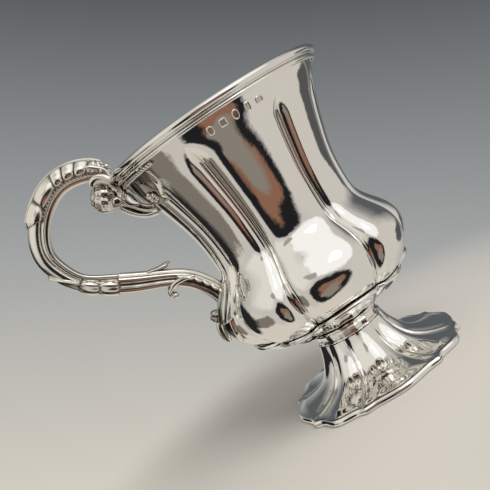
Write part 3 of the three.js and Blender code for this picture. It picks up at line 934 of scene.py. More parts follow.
    def rings(self) -> Piece:
        """Two thin steps between the calyx and the collar.

        Returns:
            The piece.
        """
        piece = Piece("stem_steps", Slot.POLISHED, ("stem_rings",))
        top = self.calyx_foot - self.wall.clearance
        low = top - self.ring_height
        step = self.ring_height / 3
        lower, upper = step / 2, step * self.upper_step
        profile = [
            (self.tube_seat, low),
            *arc((self.ring_radius - self.lower_step_back, low + lower), lower, -90, 90, 8),
            (self.ring_radius - self.step_neck, low + step * 1.15),
            *arc((self.ring_radius - upper, low + 2.1 * step), upper, -80, 90, 10),
            (self.tube_seat, top),
        ]
        grid = self.wall.stance.turned(profile, self.ring_columns)
        piece.add(grid, Section.CLOSES_ON_ITSELF)
        return piece

    def facet(self, turn: Array, height: Array) -> Array:
        """Flat faces between upright corners on the collar, none on its base and its top.

        Args:
            turn: Turns from the handle.
            height: Heights.

        Returns:
            The share of the radius left.
        """
        facet = math.tau / self.facets
        within = turn - facet * np.floor(turn / facet) - facet / 2
        chord = math.cos(facet / 2) / np.cos(within) * (1 - self.facet_hollow)
        side = (height > self.collar_foot) & (height < self.collar_foot + self.collar_height)
        return np.where(side, chord + self.facet_hollow * np.abs(2 * within / facet), 1)

    def collar(self) -> Piece:
        """The collar, hollowed into facets under a small flange.

        Returns:
            The piece.
        """
        piece = Piece("facet_collar", Slot.POLISHED, ("collar",), self.facet_sharp_degrees)
        waist, top = self.collar_waist_radius, self.collar_top_radius
        rows = [(self.tube_seat, 0), *placed((waist, 0), self.collar_base)]
        rows += [(mix(waist, top, out), up) for out, up in self.collar_hollow]
        rows += [(top - self.collar_bevel, 1), (self.tube_seat, 1)]
        radius, share = np.array(rows).T[:, :, None]
        height = self.collar_foot + share * self.collar_height
        turns = ring_angles(self.facets * self.facet_columns)
        grid = self.wall.stance.spin(radius, height, turns, self.facet)
        piece.add(grid, Section.CLOSES_ON_ITSELF)
        return piece


@dataclass
class Foot:
    """The lobed trumpet foot and the wire along its scalloped edge."""

    stem: Stem
    neck_radius: float = 14.3
    tube_radius: float = 11.0
    edge_back: float = 0.6
    edge_to_neck: Rows = (
        (0.19, 0.028), (0.385, 0.073), (0.558, 0.147), (0.71, 0.26), (0.827, 0.418), (0.918, 0.61),
        (0.97, 0.814),
    )
    wire_height: float = 2.7
    wire_width: float = 2.6
    wire_points: int = 18
    scallop: float = 0.06
    wide_draw: float = 0.05
    neck_scallop: float = 0.045
    valley: float = 0.75
    cusp: float = 0.5
    cusp_sharpness: float = 1.3
    swell: float = 0.8
    furrow: float = 1.5
    rib: float = 1.3
    rib_width: float = 0.085
    relief_window: Span = (0, 0.14, 0.7, 1)
    rows: int = 90

    @property
    def radius(self) -> float:
        """The reach of the narrow lobes, worked out from the wide ones across the handle."""
        return self.stem.wall.stance.foot_radius / (1 - self.wide_draw)

    @property
    def top(self) -> float:
        """The height of the neck, under the collar."""
        return self.stem.collar_foot - self.stem.wall.clearance

    def size(self, turn: Array, height: Array) -> Array:
        """The scallops: a broad swell, a valley beside each crease and a cusp on it.

        Args:
            turn: Turns from the handle.
            height: Heights.

        Returns:
            The share of the radius left.
        """
        lobes = self.stem.wall.stance.lobes
        edge = lobes.edge(turn)
        valley = np.sin((math.pi / 2) * np.minimum(1, edge / self.valley)) ** 2
        past = np.maximum(0, (edge - self.valley) / (1 - self.valley))
        cusp = past**self.cusp_sharpness * self.cusp
        rise = smooth_step(height, self.wire_height, self.top)
        depth = mix(self.scallop, self.neck_scallop, rise)
        drawn = self.wide_draw * (1 - rise) * np.cos(math.pi / 2 * edge) ** 2
        drawn = np.where(lobes.is_wide(turn), drawn, 0)
        return 1 - drawn - depth * (valley - cusp)

    def outline(self) -> Spline:
        """The trumpet's outside, from its edge to the neck.

        Returns:
            A curve of radius and height.
        """
        edge = (self.radius - self.edge_back, self.wire_height + self.stem.wall.clearance)
        neck = (self.neck_radius, self.top)
        return Spline([edge, *between(edge, neck, self.edge_to_neck), neck])

    def relief(self, edge: Array) -> Array:
        """How far the sheet swells in a lobe's middle, sinks beside a crease and rises on it."""
        middle = self.swell * (1 - edge**2)
        return middle - self.furrow * edge**4 + self.rib * ridge(edge, 1, self.rib_width)

    def trumpet(self) -> Piece:
        """The foot's sheet, open underneath.

        Returns:
            The piece.
        """
        stance = self.stem.wall.stance
        sheet = self.stem.wall.sheet
        piece = Piece("foot_trumpet", Slot.POLISHED, ("foot",))
        outside = self.outline().spread(self.rows)
        square = square_to(outside)
        inside = outside - sheet * square
        inside[:, 1] = np.maximum(inside[:, 1], outside[0, 1])
        tube_top = self.stem.calyx_foot - self.stem.wall.clearance
        bore = self.tube_radius - sheet
        tube_foot = [[0, tube_top - sheet], [bore, tube_top - sheet], [bore, self.top - sheet]]
        tube_head = [[self.tube_radius, self.top], [self.tube_radius, tube_top], [0, tube_top]]
        profile = np.vstack([tube_foot, inside[::-1][1:], outside, tube_head])
        swollen = window(np.linspace(0, 1, self.rows), *self.relief_window)
        pushed = square * swollen[:, None]
        still = np.zeros((len(tube_foot), 2))
        pushed = np.vstack([still, pushed[::-1][1:], pushed, still])
        turns = stance.lobes.turns()
        relief = self.relief(stance.lobes.edge(turns))[None, :]
        radius = profile[:, :1] + pushed[:, :1] * relief
        height = profile[:, 1:] + pushed[:, 1:] * relief
        piece.add(stance.spin(radius, height, turns, self.size))
        return piece

    def wire(self) -> Piece:
        """The wire, flat where the mug stands.

        Returns:
            The piece.
        """
        stance = self.stem.wall.stance
        piece = Piece("foot_edge", Slot.POLISHED, ("foot_wire",))
        half = self.wire_height / 2
        profile = [
            (self.radius - self.wire_width, 0),
            *arc((self.radius - half, half), half, -90, 90, self.wire_points),
            (self.radius - self.wire_width, self.wire_height),
        ]
        radius, height = np.array(profile).T[:, :, None]
        grid = stance.spin(radius, height, stance.lobes.turns(), self.size)
        piece.add(grid, Section.CLOSES_ON_ITSELF)
        return piece


@dataclass(frozen=True)
class Reeding:
    """The relief of a bar with ridges and grooves along it.

    Each row is a ridge's place round the bar in degrees, its width and its height.
    """

    rows: Rows

    def __call__(self, share: Array, angle: Array) -> Array:
        """What stands proud, by the share along the bar and the angle round it."""
        return ridges(np.degrees(angle), self.rows)


@dataclass(frozen=True)
class Sweeper:
    """Sweeps oval rings down a line in the handle's plane, or beside it.

    A relief is read from the share along a bar and the angle round it, where 0 is the inside
    of the handle's loop and pi the outside.
    """

    stance: Stance
    strand_rows: int = 110
    strand_columns: int = 48
    strand_blunt: Pair = (0.9, 0.9)
    thinnest: float = 0.15

    @staticmethod
    def shelter(rows: int, count: int, relief: Relief, deepest: float) -> Array:
        """How sheltered each point of a bar is, from its relief: its share of painted shade and
        tarnishing.
        """
        places = np.meshgrid(np.linspace(0, 1, rows), loop_angles(count), indexing="ij")
        return np.clip(-relief(*places) / deepest, 0, 1)

    def bar(
        self,
        piece: Piece,
        rows: Array,
        count: int,
        relief: Relief | None = None,
        blunt: Pair = (0.6, 0.6),
        deepest: float = 0.0,
        side: float | Array = 0.0,
    ) -> None:
        """Adds a bar with rounded ends to a piece.

        Args:
            piece: The piece it belongs to.
            rows: Rows of out, height, half depth and half width.
            count: Points round each ring. The first is on the inside of the handle's loop.
            relief: What stands proud.
            blunt: How many half depths each end takes to round off.
            deepest: The relief's depth that counts as fully sheltered, 0 for none.
            side: How far the line lies from the handle's plane.
        """
        centre = self.stance.beside(rows[:, 0], side, rows[:, 1])
        grid = self.along(centre, rows[:, 2], rows[:, 3], count, relief, blunt)
        shaded = relief is not None and deepest > 0
        shade = self.shelter(len(rows), count, relief, deepest) if shaded else None
        piece.add(grid, hollow=shade)

    def strand(
        self,
        piece: Piece,
        stations: list[tuple[float, ...]],
        flank: Flank = Flank.FAR,
        relief: Relief | None = None,
        deepest: float = 0.0,
    ) -> None:
        """Adds a tapering strand of leaf to a piece.

        Args:
            piece: The piece it belongs to.
            stations: Rows of out, height, distance beside the plane, half depth and half width.
            flank: The side of the handle it lies on.
            relief: What stands proud of it.
            deepest: The relief's depth that counts as fully sheltered, 0 for none.
        """
        rows = Spline(stations).spread(self.strand_rows)
        sizes = np.maximum(rows[:, 3:], self.thinnest)
        body, side = np.hstack([rows[:, :2], sizes]), flank.value * rows[:, 2]
        self.bar(piece, body, self.strand_columns, relief, self.strand_blunt, deepest, side)

    def along(
        self,
        centre: Array,
        depth: Array,
        width: Array,
        count: int,
        relief: Relief | None,
        blunt: Pair,
        side: Array | None = None,
    ) -> Array:
        """A bar round any line.

        Args:
            centre: The line's points.
            depth: Half depths, square to the side.
            width: Half widths, along the side.
            count: Points round each ring.
            relief: What stands proud.
            blunt: How many half depths each end takes to round off.
            side: The side direction at each point, or None for straight across the handle.

        Returns:
            The grid of points.
        """
        forward = headings(centre)
        across = np.cross([0.0, 1.0, 0.0] if side is None else side, forward)
        across /= np.linalg.norm(across, axis=1)[:, None]
        beside = np.cross(forward, across)
        angle, run = ring_angles(count), lengths(centre)
        proud = 0.0
        if relief is not None:
            proud = relief(*np.meshgrid(run / run[-1], loop_angles(count), indexing="ij"))
        taper = np.ones((len(centre), 1))
        for distance, reach in ((run, blunt[0]), (run[-1] - run, blunt[1])):
            left = np.clip(1 - distance / np.maximum(reach * depth, 1e-6), 0, 1)
            taper *= np.sqrt(np.maximum(1 - left**2, 0))[:, None]
        n = (depth[:, None] + proud) * np.cos(angle) * taper
        b = (width[:, None] + proud) * np.sin(angle) * taper
        return centre[:, None] + n[..., None] * across[:, None] + b[..., None] * beside[:, None]


@dataclass(frozen=True)
class HandleLine:
    """The handle's own line, from the bowl's shoulder out to the bend and over to the rim.

    Its rows are stations of out, height, half depth and half width: the root's are measured
    from the shoulder, the bend's from its outermost point and the arch's from the mouth.
    """

    wall: BowlWall
    reach: float = 82.0
    bend_height: float = 108.5
    shoulder_share: float = 0.5
    shoulder_rise: float = 9.5
    joint_station: float = 7.0
    root: Rows = (
        (-2, -0.4, 3.6, 4.8), (-0.6, 4.2, 3.3, 4.3), (1.9, 9.1, 3.2, 4), (5.5, 13.9, 3.2, 3.9),
        (11, 18.1, 3.1, 3.8), (16.8, 21.2, 3.3, 3.8), (22.8, 24.2, 3.6, 3.9), (29, 27.7, 3.6, 3.9),
    )
    outer_bend: Rows = (
        (-11.6, -19.7, 3.3, 3.8), (-5.8, -14.9, 3, 3.8), (-1.9, -8.3, 3.4, 4), (0, 0, 3.8, 4.2),
        (-3, 8.7, 4.1, 4.4), (-8.5, 15.1, 4.2, 4.7),
    )
    arch: Rows = (
        (21.6, 7.3, 4.2, 4.9), (15.6, 9.2, 4.2, 4.9), (9.8, 8.9, 4.1, 4.8), (4.6, 7.2, 3.8, 4.6),
        (0.7, 4.8, 3, 3.8), (-2.4, 2.1, 1.5, 2.4),
    )

    @property
    def stance(self) -> Stance:
        """Where the mug stands."""
        return self.wall.stance

    @property
    def shoulder(self) -> Place:
        """Where the handle's foot meets the bowl."""
        out = mix(self.wall.belly_radius, self.wall.waist_radius, self.shoulder_share)
        return out, self.wall.belly_height + self.shoulder_rise

    @property
    def mouth(self) -> Place:
        """The mouth's edge."""
        return self.stance.mouth_radius, self.stance.height

    def spline(self) -> Spline:
        """The line with its half depth and half width at each station.

        Returns:
            A curve of out, height, half depth and half width.
        """
        stations = placed(self.shoulder, self.root)
        stations += placed((self.reach, self.bend_height), self.outer_bend)
        return Spline(stations + placed(self.mouth, self.arch))


@dataclass
class HandleBars:
    """The two cast halves of the handle: the arch, and the railed stem that carries it.

    The arch has a spine outside and two rails inside with a groove between. The stem has two
    rails above a deep channel, and one below it.
    """

    line: HandleLine
    sweeper: Sweeper
    arch: Reeding = Reeding(
        ((180, 9, 0.1), (160, 12, -0.5), (25, 12, 0.5), (39, 6, -0.5), (53, 8, 0.5), (68, 7, -0.5))
    )
    stem: Reeding = Reeding(
        ((12, 14, 0.5), (60, 16, 0.5), (144, 13, 0.5), (35, 7, -0.5), (103, 18, -1.2))
    )
    groove: float = 0.5
    tip: float = 0.6
    butt: float = 0.04
    arch_rings: Counts = (300, 120)
    stem_rings: Counts = (220, 144)

    def pieces(self) -> list[Piece]:
        """Both bars.

        Returns:
            The pieces.
        """
        spline, joint = self.line.spline(), self.line.joint_station
        upper = Piece("arch_scroll", Slot.CAST, ("upper_scroll",))
        count, around = self.arch_rings
        blunt = (self.butt, self.tip)
        self.sweeper.bar(upper, spline.spread(count, joint), around, self.arch, blunt, self.groove)
        lower = Piece("reeded_stem", Slot.CAST, ("lower_scroll",))
        count, around = self.stem_rings
        rows = spline.spread(count, 0, joint)
        self.sweeper.bar(lower, rows, around, self.stem, blunt[::-1], self.groove)
        return [upper, lower]


@dataclass(frozen=True)
class Wrap:
    """A leaf laid round part of the handle's bar, between two stations of its line.

    Its relief is read from the share along it, 0 to 1, and the place across it, -1 to 1.
    """

    line: HandleLine
    first: float
    last: float
    middle_degrees: float
    reach_degrees: float
    rows: int = 240
    columns: int = 90
    under: float = -0.35
    fade: float = 30.0

    def lift(self, share: Array, across: Array) -> Array:
        """How far the leaf stands off the bar."""
        raise NotImplementedError

    def dark(self, share: Array, across: Array) -> Array:
        """How sheltered the leaf is."""
        raise NotImplementedError

    def add(self, piece: Piece, flank: Flank = Flank.FAR) -> None:
        """Adds the leaf's closed skin to a piece.

        Args:
            piece: The piece it belongs to.
            flank: The side of the handle that positive angles go to.
        """
        share, across = shares(self.rows, self.columns, -1.0)
        stations = self.line.spline().spread(self.rows, self.first, self.last)
        centre = self.line.stance.beside(stations[:, 0], 0.0, stations[:, 1])
        forward = headings(centre)
        inwards = np.cross([0.0, 1.0, 0.0], forward)
        beside = np.cross(forward, inwards)
        middle, reach = math.radians(self.middle_degrees), math.radians(self.reach_degrees)
        angle = flank.value * (middle + reach * np.concatenate([across, -across], axis=1))
        ends = np.sqrt(np.clip(np.minimum(share, 1 - share) * self.fade, 0, 1))
        outer = self.under + (self.lift(share, across) - self.under) * ends
        skin = np.concatenate([outer, np.full_like(outer, self.under)], axis=1)
        n = (stations[:, 2:3] + skin) * np.cos(angle)
        b = (stations[:, 3:4] + skin) * np.sin(angle)
        grid = centre[:, None] + n[..., None] * inwards[:, None] + b[..., None] * beside[:, None]
        caps = [np.broadcast_to(row.mean(axis=0), grid[:1].shape) for row in (grid[0], grid[-1])]
        shade = self.dark(share, across)
        shade = np.concatenate([shade, np.ones_like(shade)], axis=1)
        shade = np.vstack([shade[:1], shade, shade[-1:]])
        piece.add(np.concatenate([caps[0], grid, caps[1]]), hollow=shade)


@dataclass(frozen=True)
class ArchLeaf(Wrap):
    """The leaf along the arch's outside: a smooth spine, and pillows parted by leaning gaps.

    Degrees are counted from the outside of the arch to each side.
    """

    first: float = 12.2
    last: float = 18.6
    middle_degrees: float = 180.0
    reach_degrees: float = 126.0
    rows: int = 420
    columns: int = 150
    fade: float = 16.0
    gaps: tuple[float, ...] = (0.25, 0.495, 0.605, 0.724, 0.842)
    overrun: float = 0.05
    lean: float = 0.06
    lean_degrees: float = 110.0
    plumpness: float = 0.4
    open_swelling: Pair = (0.35, 0.7)
    margin_degrees: float = 97.0
    scallop_degrees: float = 12.0
    margin_fade: Pair = (-9.0, 3.0)
    beside_spine: Pair = (22.0, 38.0)
    spine: float = 1.3
    spine_degrees: float = 6.5
    clean_degrees: float = 9.0
    floor: float = 0.2
    swell: float = 1.0
    uneven: float = 0.16
    vein: float = 0.1
    veins: float = 9.0
    bump: float = 0.22
    bumps: Pair = (23.0, 5.0)
    rib: float = 0.16
    ribs: float = 25.0
    rib_lean: float = 0.02
    rib_degrees: Span = (106, 111, 120, 125)
    rib_shine: float = 0.45
    point: float = 0.13
    edge_ease: float = 0.03

    def pillows(self, share: Array, turned: Array) -> tuple[Array, Array]:
        """Which pillow each place lies in, and how far it has swollen there.

        Args:
            share: The share along the leaf.
            turned: Degrees from the outside of the arch.

        Returns:
            The pillows' numbers, and a swelling of 0 in a gap and 1 in a pillow's middle.
        """
        edges = np.array([-self.overrun, *self.gaps, 1 + self.overrun])
        slid = share + self.lean * (turned / self.lean_degrees - 0.5)
        number = np.clip(np.searchsorted(edges, slid) - 1, 0, len(edges) - 2)
        inside = (slid - edges[number]) / (edges[number + 1] - edges[number])
        return number, np.sin(math.pi * np.clip(inside, 0, 1)) ** self.plumpness

    def margin(self, swollen: Array, turned: Array) -> Array:
        """1 on the pillows' own band, 0 beside the spine and past their scalloped lower edge.

        Args:
            swollen: How far the pillow has swollen.
            turned: Degrees from the outside of the arch.

        Returns:
            The shares.
        """
        low = self.margin_degrees + self.scallop_degrees * swollen
        past = smooth_step(turned - low, *self.margin_fade)
        return smooth_step(turned, *self.beside_spine) * (1 - past)

    def ribbed(self, share: Array, turned: Array) -> Array:
        """Small ribs across the band below the pillows."""
        slid = share + self.rib_lean * turned / self.lean_degrees
        return window(turned, *self.rib_degrees) * np.abs(np.cos(math.pi * self.ribs * slid))

    def lift(self, share: Array, across: Array) -> Array:
        """How far the leaf stands off the bar.

        Args:
            share: The share along it.
            across: The place across it.

        Returns:
            The heights.
        """
        turned = np.abs(across) * self.reach_degrees
        number, swollen = self.pillows(share, turned)
        along, around = self.bumps
        veins = self.vein * np.cos(np.radians(turned) * self.veins) * (number < len(self.gaps))
        bumps = self.bump * np.cos(share * math.tau * along) * np.cos(np.radians(turned) * around)
        veins = veins + bumps * (number == len(self.gaps))
        fuller = 1 + self.uneven * np.cos(2.4 * number + 0.6)
        body = self.swell * fuller * swollen * self.margin(swollen, turned) * (1 + veins)
        body += self.floor + self.rib * self.ribbed(share, turned)
        body += (self.spine - self.floor) * ridge(turned, 0, self.spine_degrees)
        reach = np.sqrt(np.clip(share / self.point, 0.01, 1))
        edge = smooth_step(reach - np.abs(across), 0, self.edge_ease)
        return self.under + (body - self.under) * edge

    def dark(self, share: Array, across: Array) -> Array:
        """How sheltered the leaf is: in its gaps, beside the spine and between the ribs.

        Args:
            share: The share along it.
            across: The place across it.

        Returns:
            Values from 0 to 1.
        """
        turned = np.abs(across) * self.reach_degrees
        _, swollen = self.pillows(share, turned)
        shiny = self.margin(swollen, turned) * smooth_step(swollen, *self.open_swelling)
        shiny = np.maximum(shiny, ridge(turned, 0, self.clean_degrees))
        return 1 - np.maximum(shiny, self.rib_shine * self.ribbed(share, turned))


@dataclass(frozen=True)
class StemHusk(Wrap):
    """The folded leaf at the stem's end: a pointed tip with rolled edges, and two swelling folds.

    A roll or fold is its distance in from the edge, its width and its height. A cut or lip is
    its place across, its width and its height.
    """

    last: float = 10.4
    middle_degrees: float = 180.0
    reach_degrees: float = 112.0
    rings: tuple[float, float, float] = (0.02, 0.3, 0.56)
    ring_width: float = 0.022
    swell: float = 0.75
    tip: float = 0.44
    tip_reach: float = 0.98
    fold_reach: float = 0.9
    fold_scallop: float = 0.07
    sheet: float = 0.35
    roll: Triple = (0.1, 0.08, 0.9)
    fold: Triple = (0.34, 0.12, -0.35)
    cut: Triple = (0.4, 0.06, -0.7)
    lip: Triple = (0.8, 0.1, 0.4)
    shade_widths: Pair = (0.14, 0.07)
    edge_ease: float = 0.06

    def pillow(self, share: Array) -> Array:
        """How far a fold has swollen between its two rings.

        Args:
            share: The share along the leaf.

        Returns:
            The swelling, 0 to 1.
        """
        swollen = [
            np.sin(math.pi * np.clip((share - low) / (high - low), 0, 1))
            for low, high in zip(self.rings, self.rings[1:])
        ]
        return np.sqrt(np.maximum(*swollen).clip(0))

    def outline(self, share: Array) -> Array:
        """How far the leaf reaches to each side.

        Args:
            share: The share along it.

        Returns:
            The reaches, scalloped by its folds and drawn in to a point at its tip.
        """
        pointed = self.tip_reach * np.sqrt(np.clip((1 - share) / self.tip, 0, 1))
        folded = share < self.rings[-1]
        return np.where(folded, self.fold_reach + self.fold_scallop * self.pillow(share), pointed)

    def lift(self, share: Array, across: Array) -> Array:
        """How far the leaf stands off the bar.

        Args:
            share: The share along it.
            across: The place across it.

        Returns:
            The heights.
        """
        edge, reach = np.abs(across), self.outline(share)
        inset = ridges(reach - edge, (self.roll, self.fold))
        folded = ridges(edge, (self.cut, self.lip))
        body = self.sheet + self.swell * self.pillow(share)
        body += inset * (share > self.rings[-1]) + folded * (share < self.rings[-1])
        return self.under + (body - self.under) * smooth_step(reach - edge, 0, self.edge_ease)

    def dark(self, share: Array, across: Array) -> Array:
        """How sheltered the leaf is: in its folds and at the rings.

        Args:
            share: The share along it.
            across: The place across it.

        Returns:
            Values from 0 to 1.
        """
        edge, (fold_width, cut_width) = np.abs(across), self.shade_widths
        fold = ridge(self.outline(share) - edge, self.fold[0], fold_width)
        cut = ridge(edge, self.cut[0], cut_width)
        beside = sum(ridge(share, ring, self.ring_width) for ring in self.rings)
        shade = fold * (share > self.rings[-1]) + cut * (share < self.rings[-1])
        return np.clip(shade + beside, 0, 1)


@dataclass(frozen=True)
class StemStrip(Wrap):
    """The acanthus strip along each side of the stem's root: a bumpy edge over a dark hollow."""

    first: float = 0.4
    last: float = 3.8
    middle_degrees: float = 118.0
    reach_degrees: float = 60.0
    leaflets: float = 6.0
    scallop: float = 0.15
    edge_place: float = -0.78
    edge_start: float = -0.98
    edge_fall: Pair = (0.1, 0.26)
    fullness: float = 1.14
    leaflet_fullness: float = 2.0
    rail: Triple = (0.84, 0.1, 0.5)
    sunk: float = 0.15
    shade_rise: Pair = (0.14, 0.24)
    shade_fall: Pair = (0.68, 0.78)

    def scalloped(self, share: Array) -> Array:
        """How far each leaflet reaches beyond the notch beside it."""
        return self.scallop * np.abs(np.sin(math.pi * self.leaflets * share))

    def lift(self, share: Array, across: Array) -> Array:
        """How far the strip stands off the bar.

        Args:
            share: The share along it.
            across: The place across it.

        Returns:
            The heights.
        """
        scalloped = self.scalloped(share)
        edge = self.edge_place + scalloped
        full = self.fullness + self.leaflet_fullness * scalloped
        falling, gone = (edge + fall for fall in self.edge_fall)
        bead = full * window(across, self.edge_start, edge, falling, gone)
        return bead + ridges(across, (self.rail,)) - self.sunk

    def dark(self, share: Array, across: Array) -> Array:
        """How sheltered the strip is: between its edges."""
        start, full = (self.edge_place + self.scalloped(share) + rise for rise in self.shade_rise)
        return window(across, start, full, *self.shade_fall)


@dataclass
class HandleSheaths:
    """The leaf over the arch with the beads of its crest, and the husk at the stem's end.

    A crest bead is its out and height from the mouth, and its radius.
    """

    line: HandleLine
    crest: Rows = (
        (4.4, 11.2, 1.0), (2.2, 9.9, 1.1), (0.2, 8.3, 1.1), (-1.4, 6.8, 1.2), (-2.7, 5.0, 1.2),
    )
    crest_side: float = 1.9
    crest_sunk: float = 0.5
    husk_overlap: float = 0.12

    def pieces(self) -> list[Piece]:
        """Both sheaths.

        Returns:
            The pieces.
        """
        arch = Piece("arch_acanthus", Slot.CAST, ("arch_leaf",))
        ArchLeaf(self.line).add(arch)
        for out, height, radius in placed(self.line.mouth, self.crest):
            for flank in Flank:
                side = flank.value * self.crest_side
                place = (out, side, height - self.crest_sunk)
                arch.add(ball(self.line.stance.beside(*place), radius))
        husk = Piece("stem_husk", Slot.CAST, ("husk_leaf",))
        StemHusk(self.line, self.line.joint_station - self.husk_overlap).add(husk)
        return [arch, husk]


@dataclass
class BudLeaves:
    """The leaves that fold down over each side of the bud.

    A strand's rows are out and height from the mouth, the distance beside the plane, the half
    depth and the half width.
    """

    line: HandleLine
    sweeper: Sweeper
    broad: Rows = (
        (6.3, 0.4, 4.8, 0.5, 0.6), (5.2, 1.5, 5.2, 1.2, 0.9), (3.4, 2.0, 5.8, 1.6, 1.0),
        (1.2, 1.0, 6.4, 1.7, 1.0), (-0.6, -1.2, 6.9, 1.5, 1.0), (-1.5, -3.7, 7.0, 1.1, 1.0),
        (-1.8, -6.0, 6.6, 0.6, 0.8), (-1.7, -7.6, 6.0, 0.2, 0.4),
    )
    wavy: Rows = (
        (4.8, 8.0, 5.3, 0.5, 0.8), (2.4, 7.0, 5.6, 0.9, 0.8), (0.9, 5.7, 5.5, 1.0, 0.8),
        (-1.0, 3.8, 5.2, 0.9, 0.8), (-1.6, 1.6, 5.1, 0.8, 0.8), (-1.4, -0.8, 5.2, 0.7, 0.8),
        (-1.2, -3.4, 5.2, 0.3, 0.5),
    )
    curl: Rows = (
        (0.9, 5.2, 5.2, 0.45, 0.6), (-0.2, 4.6, 5.5, 0.5, 0.6), (-0.1, 3.7, 5.6, 0.5, 0.6),
        (0.9, 3.6, 5.6, 0.45, 0.5),
    )
    back: Rows = (
        (0.4, -1.6, 3.6, 0.8, 1.0), (-1.2, -4.6, 4.8, 1.4, 1.3), (-1.6, -7.4, 4.6, 1.5, 1.4),
        (-1.2, -9.8, 4.0, 1.0, 1.2),
    )
    blade: Reeding = Reeding(((150, 25, 0.25), (75, 25, -0.18)))
    lump: float = 0.22
    lumps: float = 3.0
    deepest: float = 0.45

    def lumpy(self, share: Array, angle: Array) -> Array:
        """Rounded leaflets, close together."""
        return self.lump * np.cos(math.tau * self.lumps * share) * np.cos(self.lumps * angle)

    def pieces(self) -> list[Piece]:
        """The near and the far leaf.

        Returns:
            The pieces.
        """
        strands = ((self.broad, self.blade), (self.wavy, None), (self.curl, None))
        strands += ((self.back, self.lumpy),)
        made = []
        for flank in Flank:
            piece = Piece(f"bud_fold_{flank.word}", Slot.CAST, (f"bud_leaf_{flank.word}",))
            for rows, relief in strands:
                stations = placed(self.line.mouth, rows)
                self.sweeper.strand(piece, stations, flank, relief, self.deepest)
            made.append(piece)
        return made


@dataclass
class StemLeaves:
    """The leaf tip and the hooked curl on the stem, with rows measured from the shoulder."""

    line: HandleLine
    sweeper: Sweeper
    tip: Rows = (
        (20.5, 25.9, 0, 0.3, 1.0), (16.6, 25.0, 0, 0.75, 2.0), (12.8, 24.1, 0, 0.95, 2.0),
        (10.2, 23.9, 0, 1.0, 1.6), (8.4, 24.0, 0, 0.35, 0.5),
    )
    hook: Rows = (
        (5.2, 12.6, 0, 0.8, 3.0), (8.4, 15.0, 0, 1.2, 2.9), (11.4, 15.7, 0, 1.3, 2.5),
        (13.8, 15.0, 0, 1.3, 2.2), (14.8, 13.3, 0, 1.15, 2.0), (14.3, 11.9, 0, 0.9, 1.7),
    )
    hook_root: Rows = (
        (3.4, 14.4, 4.2, 0.5, 0.7), (6.8, 15.6, 4.1, 0.9, 0.8), (10.2, 16.1, 3.5, 1.0, 0.8),
        (12.9, 15.5, 2.7, 0.9, 0.8), (14.6, 14.0, 2.0, 0.5, 0.5),
    )
    hook_end: Place = (13.7, 12.0)
    end_sides: Triple = (-0.9, 0.0, 0.9)
    end_radius: float = 1.3

    def spur(self) -> Piece:
        """The leaf tip that lifts off the stem.

        Returns:
            The piece.
        """
        piece = Piece("stem_leaf_tip", Slot.CAST, ("stem_spur",))
        self.sweeper.strand(piece, placed(self.line.shoulder, self.tip))
        return piece

    def curl(self) -> Piece:
        """The hooked curl below the stem, with the acanthus strips it grows from.

        Returns:
            The piece.
        """
        shoulder = self.line.shoulder
        piece = Piece("stem_hook", Slot.CAST, ("stem_curl",))
        self.sweeper.strand(piece, placed(shoulder, self.hook))
        out, height = placed(shoulder, (self.hook_end,))[0]
        for side in self.end_sides:
            piece.add(ball(self.line.stance.beside(out, side, height), self.end_radius))
        strip = StemStrip(self.line)
        for flank in Flank:
            strip.add(piece, flank)
            self.sweeper.strand(piece, placed(shoulder, self.hook_root), flank)
        return piece


